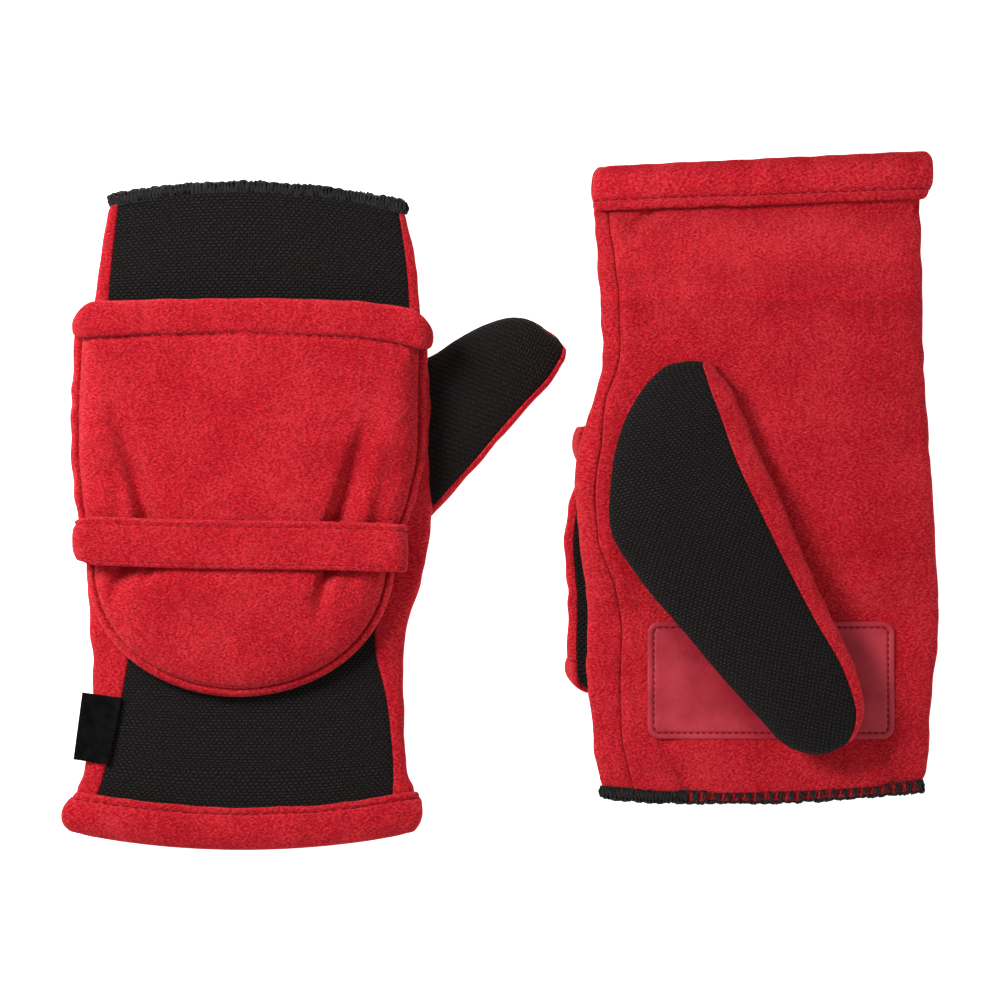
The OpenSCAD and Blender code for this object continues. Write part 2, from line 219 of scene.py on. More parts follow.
def signed_pow(v, e):
    return np.sign(v) * np.abs(v) ** e


def noise(x, y, size, seed):
    """Smooth noise from -1 to 1 with bumps about size across."""
    lattice = np.random.default_rng(seed).random((97, 97)) * 2 - 1
    u, v = np.asarray(x) / size, np.asarray(y) / size
    i, j = np.floor(u).astype(int), np.floor(v).astype(int)
    s, t = smooth(u - i), smooth(v - j)
    low = mix(lattice[i % 97, j % 97], lattice[(i + 1) % 97, j % 97], s)
    high = mix(lattice[i % 97, (j + 1) % 97], lattice[(i + 1) % 97, (j + 1) % 97], s)
    return mix(low, high, t)


def rows_at(table, u, straight=()):
    """Rows at fractional places u of a station table, on a smooth curve; the columns named in
    straight change evenly between stations."""
    t = np.asarray(table, float)
    t = np.vstack([2 * t[0] - t[1], t, 2 * t[-1] - t[-2]])
    i = np.minimum(u.astype(int), len(table) - 2)
    f = (u - i)[:, None]
    p0, p1, p2, p3 = t[i], t[i + 1], t[i + 2], t[i + 3]
    rows = 0.5 * (2 * p1 + (p2 - p0) * f + (2 * p0 - 5 * p1 + 4 * p2 - p3) * f * f
                  + (3 * p1 - p0 - 3 * p2 + p3) * f ** 3)
    for k in straight:
        rows[:, k] = mix(p1, p2, f)[:, k]
    return rows


def graded(length, step, rim):
    """Distances from 0 to length, close together near both ends so that a rim can be round."""
    close = rim * np.array([0, 0.06, 0.2, 0.42, 0.7, 1])
    middle = np.linspace(rim, length - rim, max(3, round((length - 2 * rim) / step)))
    return np.concatenate([close[:-1], middle, (length - close[:-1])[::-1]])


def lengths_along(points, axis=0):
    """How far each point is along its line of points, which runs along the given axis."""
    arc = np.cumsum(np.linalg.norm(np.diff(points, axis=axis), axis=-1), axis=axis)
    return np.concatenate([np.take(arc, [0], axis) * 0, arc], axis=axis)


def resample(points, places):
    """Points of each row of a grid at the given shares of that row's length, and the lengths."""
    arc = lengths_along(points, axis=1)
    out = np.empty((len(points), len(places), 3))
    for i, row in enumerate(points):
        for c in range(3):
            out[i, :, c] = np.interp(places * arc[i, -1], arc[i], row[:, c])
    return out, arc[:, -1]


# ---------------------------------------------------------------- placing and mesh making

def anchor(side):
    """The mitten frame's origin in the row frame, in mm, found from where the CAD has its patch."""
    low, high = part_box(side + "_grip_patch")
    middle = [(low[k] + high[k]) / 2 / MM for k in range(2)]
    patch = np.array([*PATCH_CENTRE, END_Z - PATCH_PROUD])
    if side == "left":
        return np.array([*middle, low[2] / MM]) - patch
    return np.array([*middle, high[2] / MM]) + patch


ORIGIN = {side: anchor(side) for side in SIDES}


def to_row(points, side):
    """Mitten-frame points, in mm, as row-frame points in metres."""
    points = np.asarray(points, float)
    return (ORIGIN[side] + (points if side == "left" else -points)) * MM


def make(name, side, points, faces, material, cloth=None, slots=None):
    """A mesh object from mitten-frame points. cloth holds each point's place on the flat cloth in mm."""
    turn = -1 if side == "right" else 1
    faces = [tuple(f)[::turn] for f in faces]
    mesh = bpy.data.meshes.new(f"{side}_{name}")
    mesh.from_pydata(to_row(points, side).tolist(), [], faces)
    for m in material if isinstance(material, (list, tuple)) else [material]:
        mesh.materials.append(m)
    if slots is not None:
        mesh.polygons.foreach_set("material_index", np.asarray(slots, np.int32))
    mesh.polygons.foreach_set("use_smooth", np.ones(len(mesh.polygons), bool))
    if cloth is not None:
        layer = mesh.attributes.new("cloth", "FLOAT_VECTOR", "POINT")
        flat = np.zeros((len(points), 3), np.float32)
        flat[:, :2] = cloth
        layer.data.foreach_set("vector", flat.ravel())
    obj = bpy.data.objects.new(mesh.name, mesh)
    bpy.context.scene.collection.objects.link(obj)
    return obj


def weld(obj):
    """Joins points that lie together and takes away faces with no area."""
    bm = bmesh.new()
    bm.from_mesh(obj.data)
    bmesh.ops.remove_doubles(bm, verts=bm.verts, dist=WELD)
    bmesh.ops.dissolve_degenerate(bm, edges=bm.edges, dist=WELD)
    bm.to_mesh(obj.data)
    bm.free()
    return obj


def normals_of(grid, wrap=False):
    """Unit normals of a grid of points, outwards for rows along +Y and columns from thumb to pinky."""
    if wrap:
        ahead = np.concatenate([grid[:, -1:], grid, grid[:, :1]], axis=1)
        dj = ahead[:, 2:] - ahead[:, :-2]
    else:
        dj = np.gradient(grid, axis=1)
    n = np.cross(np.gradient(grid, axis=0), dj)
    return n / np.maximum(np.linalg.norm(n, axis=2, keepdims=True), 1e-9)


def border_distance(grid, wrap=False):
    """Distance of each grid point from the nearest edge of the sheet, along the sheet."""
    along = lengths_along(grid)
    d = np.minimum(along, along[-1:] - along)
    if not wrap:
        across = lengths_along(grid, axis=1)
        d = np.minimum(d, np.minimum(across, across[:, -1:] - across))
    return d


def grid_faces(ids, wrap=False):
    """Four-sided faces of a grid of point numbers; wrap joins its last column to its first."""
    nxt = np.roll(ids, -1, axis=1) if wrap else ids[:, 1:]
    cur = ids if wrap else ids[:, :-1]
    quads = np.stack([cur[:-1], cur[1:], nxt[1:], nxt[:-1]], axis=-1)
    return quads.reshape(-1, 4)


def sheet_solid(outer, thick, rim, cloth, wrap=False, normals=None):
    """Points, faces and cloth places of a closed sheet whose outer face is the grid and whose
    edges are rounded. Border points are shared by the two faces."""
    m, n = outer.shape[:2]
    normals = normals_of(outer, wrap) if normals is None else normals
    round_off = 1 - dome(border_distance(outer, wrap) / rim)
    under = outer - normals * (thick * (1 - round_off / 2))[..., None]
    over = outer - normals * (thick / 2 * round_off)[..., None]
    over_ids = np.arange(m * n).reshape(m, n)
    under_ids = over_ids + m * n
    edge = np.zeros((m, n), bool)
    edge[[0, -1]] = True
    if not wrap:
        edge[:, [0, -1]] = True
    under_ids = np.where(edge, over_ids, under_ids)
    faces = np.vstack([grid_faces(over_ids, wrap), grid_faces(under_ids, wrap)[:, ::-1]])
    points = np.concatenate([over.reshape(-1, 3), under.reshape(-1, 3)])
    places = np.concatenate([cloth.reshape(-1, 2)] * 2)
    used, new = np.unique(faces, return_inverse=True)
    return points[used], new.reshape(faces.shape), places[used]


def cloth_piece(name, side, grid, cloth, thick, rim, material, normals=None):
    """An object of one closed sheet of cloth, whose outside is the grid."""
    points, faces, places = sheet_solid(grid, thick, rim, cloth, normals=normals)
    return make(name, side, points, faces, material, places)


class Parts:
    """Several small closed meshes gathered into one piece."""

    def __init__(self):
        self.points, self.faces, self.count = [], [], 0

    def add(self, points, faces):
        self.points.append(points)
        self.faces += [[i + self.count for i in f] for f in faces]
        self.count += len(points)

    def make(self, name, side, material):
        return make(name, side, np.concatenate(self.points), self.faces, material)


def thread(parts, path, out, radius, sides=6, taper=0.45):
    """Adds a closed tube along a path; out is a direction or one per point that isn't along it, and
    radius one size or one per point."""
    path = np.asarray(path, float)
    k = len(path)
    out = np.broadcast_to(np.asarray(out, float), path.shape)
    tangent = np.gradient(path, axis=0)
    tangent /= np.maximum(np.linalg.norm(tangent, axis=1, keepdims=True), 1e-9)
    across = np.cross(tangent, out)
    across /= np.maximum(np.linalg.norm(across, axis=1, keepdims=True), 1e-9)
    up = np.cross(across, tangent)
    size = np.broadcast_to(np.asarray(radius, float), (k,)).copy()
    size[[0, -1]] *= taper
    a = np.arange(sides) * 2 * math.pi / sides
    ring = np.cos(a)[None, :, None] * across[:, None] + np.sin(a)[None, :, None] * up[:, None]
    points = (path[:, None] + ring * size[:, None, None]).reshape(-1, 3)
    ids = np.arange(k * sides).reshape(k, sides)
    faces = grid_faces(ids, wrap=True)[:, ::-1].tolist()
    faces += [ids[0].tolist(), ids[-1][::-1].tolist()]
    parts.add(points, faces)


def stitch_row(parts, path, out, length, gap, radius):
    """Adds single stitches along a path, each one a short arched thread sunk at both ends."""
    path = np.asarray(path, float)
    arc = lengths_along(path)
    out = np.broadcast_to(np.asarray(out, float), path.shape)
    share = np.array([0, 0.12, 0.35, 0.65, 0.88, 1])
    lift = np.array([-1.0, -0.2, 0.25, 0.25, -0.2, -1.0]) * radius
    for s in np.arange(0, arc[-1] - length, length + gap):
        at = s + share * length
        p = np.stack([np.interp(at, arc, path[:, c]) for c in range(3)], 1)
        o = np.stack([np.interp(at, arc, out[:, c]) for c in range(3)], 1)
        thread(parts, p + o * lift[:, None], o, radius)


def dress(obj, side, body, slot, *nodes):
    """Ties a piece to the body that carries it and hides the CAD nodes it replaces. slot, its record
    material, is not used.
    """
    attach(obj, f"{side}_{body}")
    if nodes:
        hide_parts(*[f"{side}_{node}" for node in nodes])


def sewing(name, side, body, lines, length, gap, radius, *nodes):
    """A piece of single stitches along some lines; each line is its points and the way out of the cloth."""
    parts = Parts()
    for path, out in lines:
        stitch_row(parts, path, out, length, gap, radius)
    obj = parts.make(name, side, RED_THREAD)
    dress(obj, side, body, "red_thread", *nodes)
    return obj


# ---------------------------------------------------------------- materials

class Graph:
    """A short way to write a node material."""

    def __init__(self, name):
        self.material = bpy.data.materials.new(name)
        self.material.use_nodes = True
        self.tree = self.material.node_tree
        self.shader = self.tree.nodes["Principled BSDF"]

    def node(self, kind, inputs=None, **settings):
        n = self.tree.nodes.new("ShaderNode" + kind)
        for key, value in settings.items():
            setattr(n, key, value)
        for key, value in (inputs or {}).items():
            self.put(n.inputs[key], value)
        return n

    def put(self, socket, value):
        if isinstance(value, bpy.types.NodeSocket):
            self.tree.links.new(value, socket)
        else:
            socket.default_value = value

    def math(self, operation, a, b=0.0, c=0.0):
        return self.node("Math", {0: a, 1: b, 2: c}, operation=operation).outputs[0]

    def scaled(self, a, b, c):
        """a times b, plus c."""
        return self.math("MULTIPLY_ADD", a, b, c)

    def fade(self, value, start, stop, before, after):
        """before up to start, changing evenly to after at stop."""
        return self.node("MapRange", {"Value": value, "From Min": start, "From Max": stop,
                                      "To Min": before, "To Max": after}).outputs[0]

    def cloth(self):
        """Where the point lies on the flat cloth, in mm."""
        return self.node("Attribute", attribute_name="cloth").outputs["Vector"]

    def noise(self, place, scale, detail=2.0, roughness=0.5, dimensions="2D"):
        inputs = {"Vector": place, "Scale": scale, "Detail": detail, "Roughness": roughness}
        return self.node("TexNoise", inputs, noise_dimensions=dimensions).outputs["Fac"]

    def ramp(self, fac, stops):
        n = self.node("ValToRGB", {"Fac": fac})
        while len(n.color_ramp.elements) < len(stops):
            n.color_ramp.elements.new(0.5)
        for element, (at, colour) in zip(n.color_ramp.elements, stops):
            element.position = at
            element.color = (*colour, 1)
        return n.outputs["Color"]

    def blend(self, fac, a, b):
        n = self.node("Mix", data_type="RGBA")
        for socket, value in zip((n.inputs["Factor"], n.inputs[6], n.inputs[7]), (fac, a, b)):
            self.put(socket, value)
        return n.outputs[2]

    def bump(self, height, strength, distance, normal=None):
        inputs = {"Height": height, "Strength": strength, "Distance": distance * MM}
        if normal is not None:
            inputs["Normal"] = normal
        return self.node("Bump", inputs).outputs["Normal"]

    def finish(self, **sockets):
        names = {"colour": "Base Color", "rough": "Roughness", "normal": "Normal", "coat": "Coat Weight",
                 "sheen": "Sheen Weight", "sheen_rough": "Sheen Roughness", "sheen_tint": "Sheen Tint",
                 "specular": "Specular IOR Level"}
        for key, value in sockets.items():
            self.put(self.shader.inputs[names[key]], value)
        return self.material


def fleece(name, dark, middle, light):
    """Short-pile fleece: small clumps of fibre with painted highlights on their tips and painted shade
    between them, broader brushed patches, a soft sheen.
    """
    g = Graph(name)
    place = g.cloth()
    lean = {"Vector": place, "Rotation": (0, 0, 0.6), "Scale": (1.0, 1.7, 1.0)}
    leaning = g.node("Mapping", lean).outputs[0]
    clumps = g.noise(leaning, 1.15, detail=3, roughness=0.7)
    fibre = g.noise(leaning, 4.2, detail=2, roughness=0.7)
    brushed = g.noise(place, 0.42, detail=2, roughness=0.6)
    patches = g.noise(place, 0.06, detail=3, roughness=0.5)
    shade = g.scaled(fibre, 0.25, g.math("MULTIPLY", clumps, 0.62))
    shade = g.scaled(brushed, 0.13, shade)
    shade = g.scaled(g.math("SUBTRACT", patches, 0.5), 0.16, shade)
    # The ramp's light end is a painted highlight on the fibre tips and its dark end painted shade between
    # the clumps, over random tone.
    colour = g.ramp(shade, [(0.41, dark), (0.5, middle), (0.6, light)])
    pile = g.bump(g.scaled(brushed, 0.8, clumps), 1.0, 0.75)
    normal = g.bump(fibre, 0.6, 0.2, pile)
    rough = g.scaled(clumps, 0.12, 0.86)
    return g.finish(colour=colour, rough=rough, normal=normal, sheen=0.13, sheen_rough=0.5,
                    sheen_tint=(1.0, 0.5, 0.5, 1), specular=0.05)


def weave(name, dark, light, pitch=1.5, row=0.78):
    """Ribbed stretch weave: rows of yarn with short dark gaps, alternate rows half a pitch apart."""
    g = Graph(name)
    place = g.node("SeparateXYZ", {"Vector": g.cloth()}).outputs
    wander = g.noise(g.cloth(), 0.5, detail=2)
    v = g.scaled(wander, 0.3, g.math("DIVIDE", place[1], row))
    half = g.math("MULTIPLY", g.math("FLOORED_MODULO", g.math("FLOOR", v), 2.0), 0.5)
    u = g.math("ADD", g.scaled(wander, 0.3, g.math("DIVIDE", place[0], pitch)), half)
    across = g.math("ABSOLUTE", g.math("SUBTRACT", g.math("FRACT", u), 0.5))
    up = g.math("ABSOLUTE", g.math("SUBTRACT", g.math("FRACT", v), 0.5))
    gap = g.math("MAXIMUM", g.fade(across, 0.08, 0.24, 1.0, 0.0), g.fade(up, 0.22, 0.46, 0.0, 1.0))
    fibre = g.noise(g.cloth(), 3.4, detail=3, roughness=0.7)
    gap = g.math("MULTIPLY", gap, g.scaled(fibre, 0.7, 0.45))
    # Painted shade on the dimmest fibres and painted glints, 3.6 times the yarn colour, on the brightest.
    shade, glint = [tuple(c * k for c in light) for k in (0.15, 3.6)]
    lit = g.ramp(fibre, [(0.38, shade), (0.5, light), (0.64, glint)])
    colour = g.blend(gap, lit, (*dark, 1))
    height = g.math("SUBTRACT", g.math("MULTIPLY", fibre, 0.5), gap)
    return g.finish(colour=colour, rough=0.75, normal=g.bump(height, 1.0, 0.4), sheen=0.015,
                    sheen_rough=0.4, sheen_tint=(0.9, 0.9, 1, 1), specular=0.13)


def leather(name, dark, middle, light):
    """Smooth faux leather with a fine pebble grain."""
    g = Graph(name)
    place = g.cloth()
    pebble = g.node("TexVoronoi", {"Vector": place, "Scale": 1.15, "Smoothness": 0.6},
                    voronoi_dimensions="2D", feature="SMOOTH_F1").outputs["Distance"]
    cloudy = g.noise(place, 0.07, detail=3)
    fine = g.noise(place, 2.8, detail=3)
    shade = g.scaled(fine, 0.3, g.math("MULTIPLY", cloudy, 0.7))
    colour = g.ramp(shade, [(0.36, dark), (0.5, middle), (0.64, light)])
    normal = g.bump(fine, 0.25, 0.1, g.bump(pebble, 0.35, 0.16))
    rough = g.scaled(fine, 0.2, 0.4)
    return g.finish(colour=colour, rough=rough, normal=normal, specular=0.3, coat=0.03)


def yarn(name, dark, light, sheen):
    """Twisted sewing thread."""
    g = Graph(name)
    place = g.node("TexCoord").outputs["Object"]
    strands = g.noise(place, 2600, detail=3, dimensions="3D")
    colour = g.ramp(strands, [(0.35, dark), (0.65, light)])
    return g.finish(colour=colour, rough=g.scaled(strands, 0.15, 0.7),
                    normal=g.bump(strands, 0.6, 0.12), sheen=sheen, specular=0.25)


def satin(name, dark, light):
    """Label satin: fine even ribs across, a little shine."""
    g = Graph(name)
    place = g.node("SeparateXYZ", {"Vector": g.cloth()}).outputs
    rib = g.math("SINE", g.math("MULTIPLY", place[1], 2 * math.pi / 0.32))
    end = g.math("SINE", g.math("MULTIPLY", place[0], 2 * math.pi / 0.45))
    height = g.scaled(end, 0.3, rib)
    tone = g.noise(g.cloth(), 0.35, detail=3)
    colour = g.ramp(tone, [(0.35, dark), (0.65, light)])
    return g.finish(colour=colour, rough=0.6, normal=g.bump(height, 0.1, 0.05), specular=0.03)


def elastic(name, dark, light):
    """Ribbed braid elastic."""
    g = Graph(name)
    place = g.node("SeparateXYZ", {"Vector": g.cloth()}).outputs
    rib = g.math("SINE", g.math("MULTIPLY", place[0], 2 * math.pi / 0.7))
    # The colour follows the ribs: painted shade in the hollows between them, lighter on the ribs.
    colour = g.ramp(g.scaled(rib, 0.5, 0.5), [(0.2, dark), (0.8, light)])
    return g.finish(colour=colour, rough=0.8, normal=g.bump(rib, 0.6, 0.2), specular=0.3)


# The red fleece's light colour is the painted highlight on its fibre tips, its dark colour the painted
# shade between clumps.
RED = fleece("red_fleece", (0.47, 0.002, 0.011), (0.68, 0.012, 0.026), (0.84, 0.044, 0.056))
BLACK = weave("black_weave", (0.0004, 0.0003, 0.0003), (0.0152, 0.0122, 0.0119))
PATCH = leather("faux_leather", (0.33, 0.012, 0.026), (0.42, 0.021, 0.038), (0.50, 0.035, 0.055))
RED_THREAD = yarn("red_thread", (0.12, 0.001, 0.007), (0.30, 0.004, 0.014), sheen=0.0)
BLACK_THREAD = yarn("black_thread", (0.003, 0.003, 0.003), (0.02, 0.019, 0.018), sheen=0.05)
TAG = satin("black_tag", (0.0016, 0.0016, 0.0018), (0.0045, 0.0045, 0.005))
ELASTIC = elastic("elastic", (0.45, 0.45, 0.43), (0.75, 0.75, 0.72))


# ---------------------------------------------------------------- hand

# A whole turn round a tube, in quarter degrees.
FULL_TURN = np.linspace(0, 360, 1441)


def tube(rows, q):
    """Points of a flattened tube at angles q in degrees: 0 thumb side, 90 back, 270 palm."""
    s = rows[:, None, :]
    q = np.radians(q)
    e = 2 / ROUNDNESS
    cx, cz = signed_pow(np.cos(q), e), signed_pow(np.sin(q), e)
    x = (s[..., 1] + s[..., 2]) / 2 + (s[..., 2] - s[..., 1]) / 2 * cx
    y = s[..., 0] + s[..., 7] * (1 - cx * cx) + s[..., 8] * cx
    z = (s[..., 3] + s[..., 4]) / 2 + (s[..., 4] - s[..., 3]) / 2 * cz
    return np.stack([x, y, z], -1)


def back_angle(rows, x):
    """Angle round the tube at which its back face has this x."""
    f = (2 * x - rows[:, 1] - rows[:, 2]) / (rows[:, 2] - rows[:, 1])
    return np.degrees(np.arccos(signed_pow(np.clip(f, -0.999, 0.999), ROUNDNESS / 2)))


def side_angle(side, rows):
    """Angle of the seam between the palm and side panels."""
    inset = np.interp(rows[:, 0], *zip(*SIDE_SEAM[side]))
    return 360 - back_angle(rows, rows[:, 2] - inset)


def strip(side, start, stop, step, rim):
    """Grid of the hand's skin between two angles, and the places of its points on the flat cloth."""
    table = BODY[side]
    y = table[0][0] + graded(table[-1][0] - table[0][0], step, rim)
    u = np.interp(y, [r[0] for r in table], range(len(table)))
    rows = rows_at(table, u, straight=(3, 4))
    a, b = start(rows), stop(rows)
    grid = tube(rows, a[:, None] + (b - a)[:, None] * np.linspace(0, 1, 700))
    width = np.linalg.norm(np.diff(grid, axis=1), axis=2).sum(1).mean()
    places = graded(width, step, rim) / width
    grid, _ = resample(grid, places)
    v, w = np.meshgrid(y, places * width, indexing="ij")
    return grid, np.stack([w, v], -1)


def fleece_relief(side, grid, cloth, seam):
    """How far a fleece panel stands out of its smooth shape, in mm. It is the same on both sides of a
    seam, so that panels meet."""
    w, v = cloth[..., 0], cloth[..., 1]
    seed = 11 if side == "left" else 12
    x, y = grid[..., 0], grid[..., 1]
    inside = smooth(seam / 1.5)
    small = 0.12 * noise(w, v, 3.1, seed) * inside + 0.10 * noise(w, v, 6, seed + 20) * inside
    broad = 0.4 * noise(w, v, 21, seed + 40) * smooth(seam / 8)
    puff = 0.35 * bell(seam - 2.6, 2) * inside
    wrist = bell(y - (44 if side == "left" else 36), 20)
    edge = smooth((np.abs(x + 2) - 38) / 7)
    sway = np.where(x > 0, noise(y * 0, y, 17, seed + 60), noise(y * 0 + 50, y, 17, seed + 60))
    pucker = edge * (0.08 + 0.2 * wrist) * np.sin(2 * math.pi * y / 13 + 4 * sway)
    belly = 0 * x
    if side == "right":
        thumb_side = 1.7 * bell(y - 88, 11) + 1.3 * bell(y - 144, 17)
        belly = thumb_side * smooth((x - 38) / 9) + 0.8 * bell(y - 137, 18) * smooth((-x - 38) / 9)
    return small + broad + puff + pucker + belly


def ridge(x, y, start, end, width, wide=None):
    """1 along a segment, fading to 0 across width on its right, across wide on its left, and towards
    its start."""
    sx, sy = start
    dx, dy = end[0] - sx, end[1] - sy
    length = math.hypot(dx, dy)
    t = ((x - sx) * dx + (y - sy) * dy) / length ** 2
    off = ((x - sx) * dy - (y - sy) * dx) / length
    spread = np.where(off > 0, width, width if wide is None else wide)
    return np.exp(-(off / spread) ** 2) * smooth(t) ** 0.9 * smooth((1.25 - t) / 0.25)


# Folds of the palm: start, end, depth, width.
FOLDS = {
    "left": [],
    "right": [((31, 158), (19, 179), 2.6, 3.4), ((-30, 161), (-40, 178), 1.9, 4.5),
              ((-4, 88), (-24, 116), 1.6, 7), ((12, 54), (0, 74), 1.3, 4.5), ((41, 31), (30, 16), 1.9, 2.8),
              ((-34, 62), (-16, 36), 0.9, 7), ((-30, 96), (-44, 84), 0.7, 5), ((36, 36), (28, 52), 0.8, 4)],
}


def thumb_valley(side, x, y):
    """Depth of the valley in which the thumb lies on the palm that faces up, along its finger side."""
    if side == "left":
        return 0 * x
    return 2.4 * ridge(x, y, (43, 100), (-4, 158), 6.0, 2.5)


def palm_folds(side, grid):
    """The soft folds of the palm, as seen on the mitten that lies palm up."""
    x, y = grid[..., 0], grid[..., 1]
    palm = smooth(((9 if side == "left" else 13) - grid[..., 2]) / 3)
    out = 0 * x
    for start, end, depth, width in FOLDS[side]:
        out = out - depth * ridge(x, y, start, end, width * 0.6, width)
    if side == "right":
        # The finger opening's edge is drawn in, so the fleece behind it swells.
        out = out + 0.9 * bell(y - 170, 6)
    return out * palm - thumb_valley(side, x, y) * palm


def fleece_panel(side, name, node, start, stop):
    """A fleece panel of the hand between two seams, with its puckers and folds."""
    grid, cloth = strip(side, start, stop, 1.0, RIM_FLEECE)
    normals = normals_of(grid)
    y, z = grid[..., 1], grid[..., 2]
    out = fleece_relief(side, grid, cloth, border_distance(grid)) + palm_folds(side, grid)
    under_cap = smooth((z - 9) / 2) * smooth((y - 38) / 8) * smooth((158 - y) / 8)
    out = mix(out, np.minimum(out, 0.1), under_cap)
    out = out * smooth((y - BODY[side][0][0]) / 3)
    # The cloth dips where it goes under the cuff's raw edge.
    hem_edge = CUFF[side][-1]
    from_hem = y - hem_edge[0] - (hem_edge[7] if side == "left" else 0)
    dip, reach = (1.9, 3.4) if side == "right" else (0.5, 2.4)
    out = out - dip * bell(from_hem - 1.2, reach) * smooth(np.abs(normals[..., 2]) * 1.5)
    grid = grid + normals * out[..., None]
    obj = cloth_piece(name, side, grid, cloth, FLEECE_T, RIM_FLEECE, RED)
    dress(obj, side, "glove", "red_fleece", node)


def woven_panel(side, start, stop):
    """The woven back of the hand. It is smooth under the cap and wavy where it lies free."""
    grid, cloth = strip(side, start, stop, 1.2, RIM_WOVEN)
    y, w, v = grid[..., 1], cloth[..., 0], cloth[..., 1]
    free = smooth((41 - y) / 10) + smooth((y - 158) / 8)
    out = (0.05 * noise(w, v, 3, 5) + 0.25 * noise(w, v, 26, 6) - 0.25) * free - 0.1
    grid = grid + normals_of(grid) * out[..., None]
    obj = cloth_piece("back_weave", side, grid, cloth, WOVEN_T, RIM_WOVEN, BLACK)
    dress(obj, side, "glove", "black_weave", "back_panel")


def hand(side):
    """The hand's three panels, each from seam to seam round the tube."""

    def pinky_seam(rows):
        return back_angle(rows, rows[:, 5])

    def thumb_seam(rows):
        return back_angle(rows, rows[:, 6])

    def palm_seam(rows):
        return side_angle(side, rows)

    fleece_panel(side, "palm_fleece", "palm_panel", pinky_seam, palm_seam)
    fleece_panel(side, "side_fleece", "side_panel", lambda rows: palm_seam(rows) - 360, thumb_seam)
    woven_panel(side, thumb_seam, pinky_seam)


def ring_grid(table, u, count):
    """Grid round a whole tube at fractional stations u, with even steps, and the rings' lengths."""
    rows = rows_at(table, u)
    return resample(tube(rows, FULL_TURN), np.arange(count) / count)


def rolled_section(depth, half_t, stitch_at):
    """The rolled hem's cross-section: down the outside from the raw edge, round the fold, and back up
    inside. Returns how far along and how deep in each point is, and the outside's and inside's shares."""
    near_stitch = stitch_at + np.array([-0.8, -0.55, -0.35, -0.17, 0, 0.17, 0.35, 0.55, 0.8, 1.2])
    outside = np.concatenate([[0, 0.1, 0.3, 0.6, 0.95], near_stitch[near_stitch > 1.1],
                              np.arange(stitch_at + 1.8, depth - half_t, 0.7)])
    turn = np.radians(np.linspace(0, 180, 13))
    inside = np.linspace(depth - half_t - 0.4, 0.2, 12)
    run = np.concatenate([outside, depth - half_t + half_t * np.sin(turn), inside])
    deep = np.concatenate([0 * outside, half_t - half_t * np.cos(turn), 2 * half_t + 0 * inside])
    return run, deep, outside, inside


def cuff_roll(side):
    """The cuff's rolled hem: fleece turned in and sewn down, its raw edge outside the stitching."""
    table = CUFF[side]
    depth, half_t, count = table[-1][0] - table[0][0], 1.45, 300
    stitch_at, stand = (1.9, 0.6) if side == "left" else (2.8, 1.1)
    run, deep, outside, inside = rolled_section(depth, half_t, stitch_at)
    k_out, k_in = len(outside), len(inside)
    lip, groove = np.zeros(len(run)), np.zeros(len(run))
    lip[:k_out] = 1 - dome(outside / 0.9)
    groove[:k_out] = bell(outside - stitch_at, 0.4)
    base, length = ring_grid(table, (len(table) - 1) * (1 - run / depth), count)
    # The outside's normals serve round the fold and, in turned order, on the inside.
    normals = -normals_of(base[:k_out], wrap=True)
    normals = np.concatenate([normals, np.repeat(normals[-1:], len(run) - k_out, axis=0)])
    normals[-k_in:] = normals[np.linspace(k_out - 1, 0, k_in).astype(int)]
    around = np.arange(count) / count * length.mean()
    lengthwise = np.concatenate([[0], np.cumsum(np.hypot(np.diff(run), np.diff(deep)))])
    w, v = np.meshgrid(lengthwise, around, indexing="ij")
    fuzz = 0.10 * noise(v, w, 3, 31) + 0.18 * noise(v, w, 6, 32)
    gather = 0.16 * np.sin(2 * math.pi * v / 9 + 2 * noise(v, w, 25, 33)) * smooth((w - 2.5) / 3)
    flat = np.abs(normals[..., 2])
    stands = (stand * (1 - smooth((w - 4) / 5)) + 0.25) * (0.25 + 0.75 * flat)
    from_end = smooth((len(run) - np.arange(len(run)) - 3) / 10)[:, None]
    flat_on = smooth(flat / 0.6)
    sunk = deep[:, None] + lip[:, None] * (1.6 - 0.5 * flat_on) + 0.8 * groove[:, None] * flat_on
    sunk = sunk + 0.9 * smooth((stitch_at + 0.6 - w) / 2) * (1 - flat_on)
    grid = base + normals * ((fuzz + gather) * from_end + stands - sunk)[..., None]
    frayed = 0.25 * noise(v, 0 * v, 7, 34) + 0.12 * noise(v, 0 * v, 2.6, 35)
    grid[..., 1] += frayed * smooth((4 - w) / 3)
    ids = np.arange(grid.shape[0] * count).reshape(-1, count)
    faces = grid_faces(np.vstack([ids, ids[:1]]), wrap=True)[:, ::-1]
    cloth = np.stack([v, w], -1)
    obj = make("cuff_roll", side, grid.reshape(-1, 3), faces, RED, cloth.reshape(-1, 2))
    dress(obj, side, "glove", "red_fleece", "cuff_hem")
    # The grid goes down the outside, round the fold and back up the inside.
    k = int(np.argmin(np.abs(outside - stitch_at)))
    path, out = [np.vstack([rows[k], rows[k][:1]]) for rows in (grid, normals)]
    sewing("cuff_stitches", side, "glove", [(path + out * 0.1, out)], 1.9, 0.9, 0.18)


